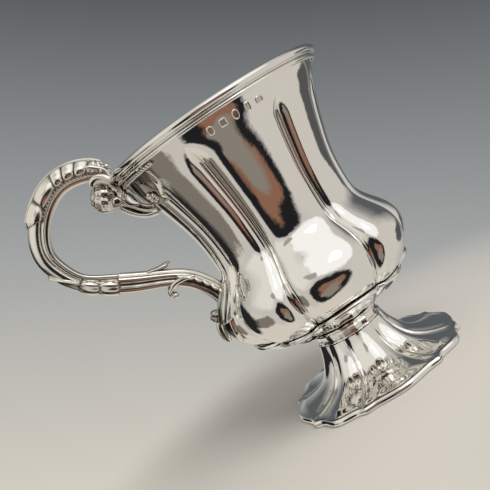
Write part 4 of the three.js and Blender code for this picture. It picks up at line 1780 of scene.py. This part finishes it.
@dataclass
class Bud:
    """The rolled bud under the arch's end, with the small scroll below it."""

    line: HandleLine
    place: Place = (4.2, -5.0)
    radius: float = 6.0
    flatness: float = 0.9
    lean_degrees: float = -28.0
    petals: int = 5
    petal_depth: float = 0.17
    petal_roundness: float = 0.4
    petal_start: Pair = (0.5, 1.7)
    twist: float = 0.6
    sway: float = 0.35
    tuck: float = 0.2
    tuck_widths: Pair = (0.5, 0.4)
    wrinkle: float = 0.03
    wrinkle_shade: float = 0.3
    bud_rings: Counts = (110, 180)
    scroll_place: Place = (1.3, -8.8)
    scroll_radius: float = 2.3
    scroll_width: float = 9.4
    scroll_waist: Rows = ((-0.8, 1.0), (-0.4, 0.94), (0, 0.9), (0.4, 0.94), (0.8, 1.0))
    scroll_uneven: float = 0.09
    eye: Pair = (0.2, 0.45)
    eye_depth: float = 1.3
    groove: Triple = (0.78, 0.09, 0.45)
    groove_drift: float = 0.12
    dome: float = 0.5
    face_rows: int = 26
    scroll_columns: int = 64

    def bud(self) -> Piece:
        """A ball of petals that close towards its lower end.

        Returns:
            The piece.
        """
        piece = Piece("rolled_bud", Slot.CAST, ("bud",))
        rows, columns = self.bud_rings
        down, around = np.linspace(0, math.pi, rows)[:, None], ring_angles(columns)[None, :]
        twist = self.twist * np.cos(down) + self.sway * np.sin(2 * down + 1)
        petals = np.cos(around * self.petals / 2 + twist + 0.5 * np.sin(around))
        gap = 1 - np.abs(petals) ** self.petal_roundness
        gap = gap * smooth_step(down, *self.petal_start) * np.sin(down) ** 0.3
        tuck = self.tuck * ridge(down, math.pi, self.tuck_widths[0])
        waves = np.sin(8 * around + 5 * down) * np.sin(9 * down + 3 * np.sin(around))
        folded = self.petal_depth * gap + tuck - self.wrinkle * waves * np.sin(down)
        grid = globe(self.radius * (1 - folded), down, around) * (1, self.flatness, 1)
        out, height = placed(self.line.mouth, (self.place,))[0]
        grid = leaned(grid, self.lean_degrees) + self.line.stance.beside(out, 0.0, height)
        # Painted shade and tarnishing in the petals' gaps and the wrinkles' pits, and painted
        # shade under the bud round its tucked lower end.
        shade = gap + self.wrinkle_shade * (waves < 0)
        piece.add(grid, hollow=shade + ridge(down, math.pi, self.tuck_widths[1]))
        return piece

    def scroll(self) -> Piece:
        """The small roll, with a dark eye and one groove round it in each end.

        Returns:
            The piece.
        """
        piece = Piece("bud_scroll", Slot.CAST, ("bud_curl",))
        around, face = ring_angles(self.scroll_columns), np.linspace(0, 1, self.face_rows)
        waist_side, waist_radius = np.array(self.scroll_waist).T
        radius = np.concatenate([face, waist_radius, face[::-1]])[:, None]
        flat = np.ones(len(face))
        side = np.concatenate([-flat, waist_side, flat])[:, None]
        at, width, depth = self.groove
        turn = ridge(radius, at + self.groove_drift * np.cos(around - 0.8), width)
        on_face = np.abs(side) == 1
        sunk = self.eye_depth * (1 - smooth_step(radius, *self.eye)) + depth * turn
        sunk, dome = sunk * on_face, self.dome * (1 - radius**2) * on_face
        beside = side * self.scroll_width / 2 - np.sign(side) * (sunk - dome)
        out, height = placed(self.line.mouth, (self.scroll_place,))[0]
        reach = self.scroll_radius * (1 + self.scroll_uneven * np.cos(2 * around + 0.6)) * radius
        ways = (out - reach * np.cos(around), beside, height + reach * np.sin(around))
        piece.add(self.line.stance.beside(*ways), hollow=np.clip(sunk, 0, 1))
        return piece


@dataclass(frozen=True, kw_only=True)
class FoldedLeaf:
    """A wall leaf's relief: folds that run down it at a slant."""

    sheet: float
    fold: float
    folds: float
    slant: float
    darkest: float

    def folded(self, share: Array, across: Array) -> Array:
        """The folds, from -1 in a valley to 1 on a crest."""
        return np.cos(across * math.tau * self.folds + self.slant * share)


@dataclass(frozen=True, kw_only=True)
class TwoEdges(FoldedLeaf):
    """Fine folds in a dark hollow between two raised edges.

    An edge is its share of the way across the leaf, its width and its height.
    """

    first: Triple
    second: Triple
    hollow: Span
    notch: float = 0.0
    notches: float = 3.0
    sheet: float = 0.15
    fold: float = 0.0
    folds: float = 3.1
    slant: float = 0.8
    darkest: float = 1.0
    fold_shine: float = 0.0

    def proud(self, share: Array, across: Array) -> Array:
        """How far the leaf stands off the wall.

        Args:
            share: The share along it.
            across: The share across it.

        Returns:
            The heights.
        """
        notched = 1 + self.notch * np.cos(math.tau * self.notches * share)
        edges = notched * ridges(across, (self.first,)) + ridges(across, (self.second,))
        return edges + self.sheet + self.fold * self.folded(share, across)

    def dark(self, share: Array, across: Array) -> Array:
        """How sheltered the leaf is: in the hollow between its edges."""
        shade = self.darkest - self.fold_shine * self.folded(share, across)
        return window(across, *self.hollow) * shade


@dataclass(frozen=True, kw_only=True)
class WideFolds(FoldedLeaf):
    """Wide folds over the whole leaf, which thins towards its outer edge."""

    sheet: float = 1.1
    fall: float = 0.4
    fold: float = 0.4
    folds: float = 2.4
    slant: float = 6.0
    valley: float = -0.4
    darkest: float = 0.8

    def proud(self, share: Array, across: Array) -> Array:
        """How far the leaf stands off the wall: it thins outward, and its folds ripple it."""
        return self.sheet - self.fall * across + self.fold * self.folded(share, across)

    def dark(self, share: Array, across: Array) -> Array:
        """How sheltered the leaf is: in the folds' valleys."""
        return self.darkest * (self.folded(share, across) < self.valley)


@dataclass(frozen=True)
class WallLeaf:
    """A thin leaf on the bowl's wall, between two edges.

    An edge's rows are a turn in degrees, and a height measured from the leaf's base.
    """

    wall: BowlWall
    base: float
    first: Rows
    second: Rows
    relief: TwoEdges | WideFolds
    rows: int = 130
    columns: int = 48
    end_ease: float = 20.0
    side_ease: float = 14.0
    clear: float = 0.05
    under: float = -0.1

    def add(self, piece: Piece, flank: Flank) -> None:
        """Adds the leaf's closed skin to a piece.

        Args:
            piece: The piece it belongs to.
            flank: The side of the handle it lies on.
        """
        share, across = shares(self.rows, self.columns)
        first = Spline(placed((0, self.base), self.first)).spread(self.rows)
        second = Spline(placed((0, self.base), self.second)).spread(self.rows)
        turn = -flank.value * np.radians(mix(first[:, :1], second[:, :1], across))
        height = mix(first[:, 1:], second[:, 1:], across)
        ends = np.sqrt(np.clip(np.minimum(share, 1 - share) * self.end_ease, 0, 1))
        sides = np.sqrt(np.clip(np.minimum(across, 1 - across) * self.side_ease, 0, 1))
        lift = self.clear + self.relief.proud(share, across) * ends * sides
        shade = self.relief.dark(share, across)
        grid = self.wall.on_wall(
            np.concatenate([turn, turn[:, ::-1]], axis=1),
            np.concatenate([height, height[:, ::-1]], axis=1),
            np.concatenate([lift, np.full_like(lift, self.under)], axis=1),
        )
        piece.add(grid, hollow=np.concatenate([shade, np.zeros_like(shade)], axis=1))


@dataclass
class Strut:
    """The strut from the bud to the wall: three ridges, two lens-shaped slots and a web.

    Its rows are measured from the mouth: out, height, half depth, and the strut's half width.
    A slot is its place in degrees, its width, and the shares where it starts and how long it is.
    """

    line: HandleLine
    sweeper: Sweeper
    stations: Rows = (
        (1.2, -10.0, 2.4, 4.2), (-1.6, -12.9, 3.1, 4.2), (-4.0, -16.0, 2.9, 4.3),
        (-7.0, -18.3, 2.5, 4.9), (-10.2, -19.2, 2.3, 5.4),
    )
    crests: Reeding = Reeding(((45, 13, 0.45), (92, 11, 0.45), (142, 14, 0.45)))
    slots: Rows = ((69, 10, 0.04, 0.8), (117, 9, 0.4, 0.52))
    slot_depth: float = 1.5
    slot_roundness: float = 0.7
    deepest: float = 0.5
    blunt: Pair = (0.3, 0.4)
    rings: Counts = (130, 120)
    web: Rows = ((-2.0, -7.0, 1.2), (-2.4, -9.0, 2.1), (-3.2, -11.2, 2.2), (-5.4, -14.2, 0.9))
    web_side: float = 4.0
    web_width: float = 0.6
    web_tilt: float = 22.0
    web_blunt: Pair = (0.7, 0.7)
    web_rings: Counts = (60, 40)

    def relief(self, share: Array, angle: Array) -> Array:
        """Ridges with slots between, each deepest halfway along itself.

        Args:
            share: The share along the strut.
            angle: The angle round it.

        Returns:
            What stands proud.
        """
        proud = self.crests(share, angle)
        for place, width, start, length in self.slots:
            lens = np.sin(math.pi * np.clip((share - start) / length, 0, 1))
            cut = ridge(np.degrees(angle), place, width) * lens**self.slot_roundness
            proud = proud - self.slot_depth * cut
        return proud

    def piece(self) -> Piece:
        """The strut, with its web up to the bud.

        Returns:
            The piece.
        """
        piece = Piece("fluted_strut", Slot.CAST, ("bracket_strut",))
        count, around = self.rings
        rows = Spline(placed(self.line.mouth, self.stations)).spread(count)
        self.sweeper.bar(piece, rows, around, self.relief, self.blunt, self.deepest)
        count, around = self.web_rings
        rows = Spline(placed(self.line.mouth, self.web)).spread(count)
        width = np.full(count, self.web_width)
        tilt = math.radians(self.web_tilt)
        for flank in Flank:
            beside = flank.value * self.web_side
            centre = self.line.stance.beside(rows[:, 0], beside, rows[:, 1])
            side = np.array([0.0, math.cos(tilt), flank.value * math.sin(tilt)])
            blunt = self.web_blunt
            piece.add(self.sweeper.along(centre, rows[:, 2], width, around, None, blunt, side))
        return piece


@dataclass
class WallArms:
    """The two arms: a broad leaf with a raised outer band, and a beaded boss at its root.

    An edge's rows are a turn in degrees and a height from the mouth. A bead is its turn, its
    height, how far it stands off the wall, and its radius.
    """

    wall: BowlWall
    outer: Rows = ((23, -19.5), (32.2, -17.2), (39, -12.5), (39.6, -7), (37.2, -3.4))
    inner: Rows = ((9, -16.6), (11, -12.6), (14, -8.6), (17.5, -5.2), (20, -3.4))
    # Painted shade: the hollow between the arm's edges, nearly its whole width, is painted dark,
    # and the folds' crests a little lighter.
    relief: TwoEdges = TwoEdges(
        first=(0.055, 0.04, 1.0),
        second=(0.95, 0.04, 0.5),
        hollow=(0.09, 0.15, 0.9, 0.95),
        sheet=0.5,
        fold=0.26,
        darkest=0.88,
        fold_shine=0.12,
    )
    boss: tuple[float, ...] = (21.0, -15.2, 1.5, 1.0)
    boss_beads: int = 6
    bead_start: float = 20.0
    bead_ring: Pair = (1.9, 1.4)
    bead_sizes: Pair = (0.9, 1.0)
    tip_beads: Rows = ((36.8, -4.2, 1.0, 1.3), (34.0, -4.0, 0.8, 1.0))

    def beads(self) -> Rows:
        """The boss, the ring of beads round it, and two beads at the arm's tip.

        Returns:
            The beads.
        """
        angles = ring_angles(self.boss_beads) + math.radians(self.bead_start)
        wide, tall = self.bead_ring
        ring = tuple((wide * math.cos(a), tall * math.sin(a), *self.bead_sizes) for a in angles)
        return (self.boss, *placed(self.boss[:2], ring), *self.tip_beads)

    def pieces(self) -> list[Piece]:
        """Both arms.

        Returns:
            The pieces.
        """
        top = self.wall.stance.height
        leaf = WallLeaf(self.wall, top, self.outer, self.inner, self.relief)
        made = []
        for flank in Flank:
            piece = Piece(f"wall_arm_{flank.word}", Slot.CAST, (f"bracket_arm_{flank.word}",))
            leaf.add(piece, flank)
            for degrees, up, stand, radius in self.beads():
                turn = -flank.value * math.radians(degrees)
                piece.add(ball(self.wall.on_wall(turn, top + up, stand), radius))
            made.append(piece)
        return made


@dataclass
class Clasp:
    """The beaded strip under the rim."""

    wall: BowlWall
    sweeper: Sweeper
    height: float = 1.6
    depth: float = 1.4
    overlap: float = 0.3
    spread_degrees: float = 46.0
    beads: int = 42
    bead_height: float = 0.22
    bead_sunk: float = 0.16
    bead_lean: float = 0.35
    blunt: Pair = (0.8, 0.8)
    rings: Counts = (380, 24)

    def relief(self, share: Array, angle: Array) -> Array:
        """Leaning beads along the strip."""
        along = share * self.beads + self.bead_lean * np.cos(angle)
        return self.bead_height * np.abs(np.sin(math.pi * along)) - self.bead_sunk

    def piece(self) -> Piece:
        """The strip itself.

        Returns:
            The piece.
        """
        wall = self.wall
        piece = Piece("beaded_clasp", Slot.CAST, ("rim_clasp",))
        count, around = self.rings
        turn = np.radians(np.linspace(-self.spread_degrees, self.spread_degrees, count))
        height = wall.stance.height - wall.moulding_height - wall.clearance - self.height / 2
        centre = wall.on_wall(turn, height, self.depth / 2)
        outwards = np.stack([-np.cos(turn), -np.sin(turn), np.zeros(count)], -1)
        depth, width = np.full(count, self.height / 2), np.full(count, self.depth / 2)
        width += self.overlap
        grid = self.sweeper.along(centre, depth, width, around, self.relief, self.blunt, outwards)
        shade = self.sweeper.shelter(count, around, self.relief, self.bead_sunk)
        piece.add(grid, hollow=shade)
        return piece


@dataclass
class Terminal:
    """The handle's lower end on the bowl: a knob, a curled tail and a leaf to each side.

    Places and the tail's rows are measured from the belly. A groove is its angle down from the
    top, its width and its depth. A side leaf's edges are turns in degrees and heights.
    """

    wall: BowlWall
    sweeper: Sweeper
    knob_place: Place = (0.5, 6.0)
    knob_radius: float = 2.5
    knob_lean: float = 35.0
    knob_grooves: Rows = ((math.pi * 0.5, 0.15, 0.3), (math.pi * 0.8, 0.1, 0.14))
    knob_lobe: float = 0.06
    knob_lobes: int = 6
    knob_shade: Pair = (0.6, 3.0)
    knob_rings: Counts = (60, 90)
    tail_rows: Rows = (
        (0.2, 4.2, 0, 1.5, 2.2), (0.8, 1.6, 0, 2.1, 2.8), (1.3, -1.0, 0, 2.1, 2.8),
        (1.5, -3.5, 0, 1.6, 2.1), (1.5, -5.7, 0, 0.5, 0.9),
    )
    tail_relief: Reeding = Reeding(((118, 30, 0.3), (25, 18, 0.2), (60, 18, -0.7)))
    tail_deepest: float = 0.5
    plate: tuple[Rows, Rows] = (
        ((0, 15), (0, 10), (1, 6), (5, 2)),
        ((17, 16.5), (20, 11.5), (20, 7), (16, 2.8)),
    )
    curl: tuple[Rows, Rows] = (
        ((26, 14), (23.2, 11.4), (21.8, 8.6), (22, 5.5), (24.5, 2.4)),
        ((30, 13.4), (31.5, 11), (31.8, 8), (29.5, 4.8), (26, 2.6)),
    )
    prong: tuple[Rows, Rows] = (
        ((11, 4.6), (8.5, 1.2), (8.7, -2), (12.6, -6.2)),
        ((20.4, 4.2), (19.6, 0.4), (17.6, -3), (13.8, -6.6)),
    )
    curl_relief: TwoEdges = TwoEdges(
        first=(0.2, 0.16, 1.6),
        second=(0.88, 0.09, 0.7),
        hollow=(0.34, 0.44, 0.76, 0.84),
        notch=0.1,
    )
    prong_relief: TwoEdges = TwoEdges(
        first=(0.1, 0.1, 0.5), second=(0.87, 0.12, 1.1), hollow=(0.18, 0.28, 0.66, 0.76)
    )

    @property
    def belly(self) -> Place:
        """The bowl's widest point."""
        return self.wall.belly_radius, self.wall.belly_height

    def knob(self) -> Piece:
        """The knob, with a deep groove round it.

        Returns:
            The piece.
        """
        piece = Piece("stem_knob", Slot.CAST, ("terminal_knob",))
        rows, columns = self.knob_rings
        down, around = np.linspace(0, math.pi, rows)[:, None], ring_angles(columns)[None, :]
        groove = ridges(down, self.knob_grooves)
        lobes = self.knob_lobe * np.cos(around * self.knob_lobes + 2 * down) * np.sin(down)
        grid = leaned(globe(self.knob_radius * (1 - groove + lobes), down, around), self.knob_lean)
        out, height = placed(self.belly, (self.knob_place,))[0]
        least, steepness = self.knob_shade
        shade = np.clip(least + steepness * groove, 0, 1) * np.ones_like(around)
        piece.add(grid + self.wall.stance.beside(out, 0.0, height), hollow=shade)
        return piece

    def tail(self) -> Piece:
        """The tail, with a dark hollow between its two edges.

        Returns:
            The piece.
        """
        piece = Piece("curled_tail", Slot.CAST, ("terminal_tail",))
        rows = placed(self.belly, self.tail_rows)
        self.sweeper.strand(piece, rows, Flank.FAR, self.tail_relief, self.tail_deepest)
        return piece

    def side_leaves(self) -> list[Piece]:
        """The leaves that spread over the bowl's shoulder: a plate, a curl and a prong each.

        Returns:
            The pieces.
        """
        reliefs = (WideFolds(), self.curl_relief, self.prong_relief)
        made = []
        for flank in Flank:
            names = f"shoulder_acanthus_{flank.word}", (f"shoulder_leaf_{flank.word}",)
            piece = Piece(names[0], Slot.CAST, names[1])
            for edges, relief in zip((self.plate, self.curl, self.prong), reliefs):
                WallLeaf(self.wall, self.wall.belly_height, *edges, relief).add(piece, flank)
            made.append(piece)
        return made


@dataclass(frozen=True)
class Viewpoint:
    """The camera: a level look past the bowl, with the mug lying over to the left."""

    place: tuple[float, float, float] = (-17.213, -265.077, 93.05)
    heading_degrees: float = 4.412
    fall_degrees: float = 4.828
    roll_degrees: float = 33.64
    lens: float = 50.55
    film: float = 36.0

    def make(self) -> None:
        """Makes the scene's camera."""
        camera = bpy.data.objects.new("camera", bpy.data.cameras.new("camera"))
        bpy.context.scene.collection.objects.link(camera)
        camera.data.lens = self.lens
        camera.data.sensor_width = self.film
        heading = math.radians(self.heading_degrees)
        fall = math.radians(self.fall_degrees)
        flat = math.cos(fall)
        ahead = Vector((math.sin(heading) * flat, math.cos(heading) * flat, -math.sin(fall)))
        level = ahead.cross(Vector((0, 0, 1))).normalized()
        above = level.cross(ahead)
        roll = math.radians(self.roll_degrees)
        right = level * math.cos(roll) - above * math.sin(roll)
        up = level * math.sin(roll) + above * math.cos(roll)
        turn = Matrix((right, up, -ahead)).transposed().to_4x4()
        camera.matrix_world = Matrix.Translation(Vector(self.place) * MM) @ turn
        bpy.context.scene.camera = camera


@dataclass(frozen=True)
class Patch:
    """A light or dark part of the room: the way to it from the mug, its reach and its tone."""

    around: float
    up: float
    inner: float
    outer: float
    colour: Colour

    def way(self) -> Vector:
        """The direction from the mug, with 0 along +Y and 90 along +X.

        Returns:
            The direction, one unit long.
        """
        around, up = math.radians(self.around), math.radians(self.up)
        flat = math.cos(up)
        return Vector((math.sin(around) * flat, math.cos(around) * flat, math.sin(up)))

    def reach(self) -> Pair:
        """The cosines of the angles at which it starts and is full."""
        return math.cos(math.radians(self.outer)), math.cos(math.radians(self.inner))


@dataclass(frozen=True)
class Lamp:
    """A soft lamp of the studio: where it stands, its size and its light."""

    name: str
    place: tuple[float, float, float]
    size: tuple[float, float]
    power: float


@dataclass
class Studio:
    """A pale floor that fades into a plain room of light and dark walls, and soft lamps."""

    floor_colour: Colour = (0.62, 0.59, 0.545)
    floor_rings: tuple[float, ...] = (0, 60, 120, 240, 480, 960, 1700, 2600)
    floor_columns: int = 96
    floor_height: float = -0.05
    fade: Pair = (0.06, 0.16)
    room_low: Colour = (0.66, 0.62, 0.545)
    room_middle: Colour = (0.36, 0.372, 0.37)
    room_high: Colour = (0.10, 0.11, 0.118)
    tone_steps: Triple = (-0.36, -0.03, 0.31)
    uphill: Triple = (0.54, 0.0, 0.84)
    unevenness: float = 0.15
    noise_scale: float = 2.6
    noise_detail: float = 2.5
    aim: Triple = (0.0, 0.0, 70.0)
    patches: tuple[Patch, ...] = (
        Patch(185, 40, 70, 98, (0.55, 0.53, 0.50)),
        Patch(105, -25, 40, 60, (0.61, 0.58, 0.54)),
        Patch(235, 38, 26, 40, (0.76, 0.73, 0.67)),
        Patch(152, 40, 30, 36, (0.97, 0.96, 0.94)),
        Patch(152, 40, 7, 11, (3.0, 2.95, 2.85)),
        Patch(207, 34, 8, 12, (0.36, 0.35, 0.33)),
        Patch(235, -28, 22, 30, (0.57, 0.54, 0.50)),
        Patch(268, -22, 16, 20, (0.20, 0.18, 0.155)),
        Patch(302, -6, 24, 31, (0.018, 0.018, 0.02)),
        Patch(58, -20, 8, 12, (0.09, 0.09, 0.09)),
        Patch(190, -26, 32, 37, (0.014, 0.014, 0.016)),
        Patch(184, -28, 15, 20, (0.26, 0.13, 0.085)),
        Patch(184, -40, 8, 15, (0.25, 0.22, 0.19)),
    )
    lamps: tuple[Lamp, ...] = (
        Lamp("high_lamp", (260, -420, 620), (420, 420), 3.1),
        Lamp("right_lamp", (640, -120, 260), (300, 420), 0.6),
    )

    def floor(self) -> None:
        """The floor: a wide disc of rings, clear towards its rim."""
        radii, turns = np.array(self.floor_rings), ring_angles(self.floor_columns)
        height = np.full((len(radii), len(turns)), self.floor_height)
        ways = (np.outer(radii, np.cos(turns)), np.outer(radii, np.sin(turns)), height)
        points = np.stack(ways, -1).reshape(-1, 3) * MM
        faces = skin_faces(len(radii), len(turns), Section.ENDS_IN_POINTS)
        mesh = bpy.data.meshes.new("floor")
        mesh.from_pydata(points.tolist(), [], faces.tolist())
        mesh.materials.append(self.floor_paint())
        floor = bpy.data.objects.new("floor", mesh)
        bpy.context.scene.collection.objects.link(floor)
        floor.visible_glossy = False

    def floor_paint(self) -> bpy.types.Material:
        """Pale paint that clears with distance, so that no horizon shows.

        Returns:
            The material.
        """
        paint = bpy.data.materials.new("floor_paint")
        layout = NodeLayout(paint)
        place = layout.node("TexCoord").outputs["Object"]
        distance = layout.node("VectorMath", {0: place}, operation="LENGTH").outputs["Value"]
        clear = layout.ranged(distance, self.fade, interpolation_type="SMOOTHSTEP")
        matt = layout.node("BsdfDiffuse", {"Color": (*self.floor_colour, 1.0)}).outputs["BSDF"]
        through = layout.node("BsdfTransparent").outputs["BSDF"]
        faded = layout.node("MixShader", {"Fac": clear, 1: matt, 2: through}).outputs["Shader"]
        layout.node("OutputMaterial", {"Surface": faded})
        return paint

    def room(self) -> None:
        """The room darkens uphill; the silver also shows each patch, laid over those before."""
        world = bpy.data.worlds.new("room")
        bpy.context.scene.world = world
        layout = NodeLayout(world)
        straight = layout.node("TexCoord").outputs["Generated"]
        wander = layout.noise(straight, self.noise_scale, self.noise_detail)["Color"]
        centred = layout.node("VectorMath", {0: wander, 1: (0.5,) * 3}, operation="SUBTRACT")
        bent = {0: centred.outputs["Vector"], 1: (self.unevenness,) * 3, 2: straight}
        uneven = layout.node("VectorMath", bent, operation="MULTIPLY_ADD").outputs["Vector"]

        def towards(way: Socket, aim: Triple, reach: Pair) -> Socket:
            """How far a direction leans towards another, from 0 to 1 over the reach."""
            lean = layout.node("VectorMath", {0: way, 1: aim}, operation="DOT_PRODUCT")
            return layout.ranged(lean.outputs["Value"], reach)

        low, middle, high = self.tone_steps
        rising = towards(straight, self.uphill, (low, middle))
        plain = layout.blend(rising, (*self.room_low, 1.0), (*self.room_middle, 1.0))
        rising = towards(straight, self.uphill, (middle, high))
        plain = layout.blend(rising, plain, (*self.room_high, 1.0))
        mirrored = plain
        for patch in self.patches:
            share = towards(uneven, patch.way(), patch.reach())
            mirrored = layout.blend(share, mirrored, (*patch.colour, 1.0))
        seen = layout.node("LightPath").outputs["Is Camera Ray"]
        light = layout.node("Background", {"Color": layout.blend(seen, mirrored, plain)})
        layout.node("OutputWorld", {"Surface": light.outputs["Background"]})

    def lamp(self, lamp: Lamp) -> None:
        """Hangs one soft lamp, turned to face the mug.

        Args:
            lamp: Its place, size and power in watts.
        """
        light = bpy.data.lights.new(lamp.name, "AREA")
        light.shape = "RECTANGLE"
        light.size, light.size_y = lamp.size[0] * MM, lamp.size[1] * MM
        light.energy = lamp.power
        made = bpy.data.objects.new(lamp.name, light)
        place = Vector(lamp.place) * MM
        look = Vector(self.aim) * MM - place
        turn = look.to_track_quat("-Z", "Y").to_matrix().to_4x4()
        made.matrix_world = Matrix.Translation(place) @ turn
        made.visible_camera = False
        made.visible_glossy = False
        bpy.context.scene.collection.objects.link(made)

    def build(self) -> None:
        """Builds the floor, the room and the lamps."""
        self.floor()
        self.room()
        for lamp in self.lamps:
            self.lamp(lamp)


POLISHED_SILVER = SilverFinish(
    name="polished_silver",
    slot=Slot.POLISHED,
    colour=(0.93, 0.915, 0.88),
    roughness=0.03,
    scuff=0.05,
    tarnish_and_shade=0.5,
    hollow_reach=0.0008,
)
CAST_SILVER = SilverFinish(
    name="cast_silver",
    slot=Slot.CAST,
    colour=(0.9, 0.87, 0.8),
    roughness=0.1,
    scuff=0.08,
    tarnish_and_shade=0.92,
    ripple_scale=120.0,
    ripple_depth=0.00005,
)


def mug_pieces(wall: BowlWall) -> list[Piece]:
    """Every piece of the mug, from the bowl down and then along the handle.

    Args:
        wall: The bowl's wall, which the rest is fitted to.

    Returns:
        The pieces.
    """
    bowl, stem, line = Bowl(wall), Stem(wall), HandleLine(wall)
    foot, sweeper = Foot(stem), Sweeper(wall.stance)
    leaves, bud, terminal = StemLeaves(line, sweeper), Bud(line), Terminal(wall, sweeper)
    return [
        bowl.body(),
        bowl.moulding(),
        *PunchMarks(wall).pieces(),
        stem.calyx(),
        stem.rings(),
        stem.collar(),
        foot.trumpet(),
        foot.wire(),
        *HandleBars(line, sweeper).pieces(),
        *HandleSheaths(line).pieces(),
        *BudLeaves(line, sweeper).pieces(),
        leaves.spur(),
        leaves.curl(),
        bud.bud(),
        bud.scroll(),
        Strut(line, sweeper).piece(),
        *WallArms(wall).pieces(),
        Clasp(wall, sweeper).piece(),
        terminal.knob(),
        terminal.tail(),
        *terminal.side_leaves(),
    ]


def main() -> None:
    """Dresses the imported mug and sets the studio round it."""
    logging.basicConfig(level=logging.INFO, format="%(message)s")
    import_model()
    finishes = {finish.slot: finish.material() for finish in (POLISHED_SILVER, CAST_SILVER)}
    for piece in mug_pieces(BowlWall(Stance.read())):
        piece.make(finishes)
    Viewpoint().make()
    Studio().build()
    bpy.context.scene.view_settings.view_transform = "Standard"


if __name__ == "__main__":
    main()
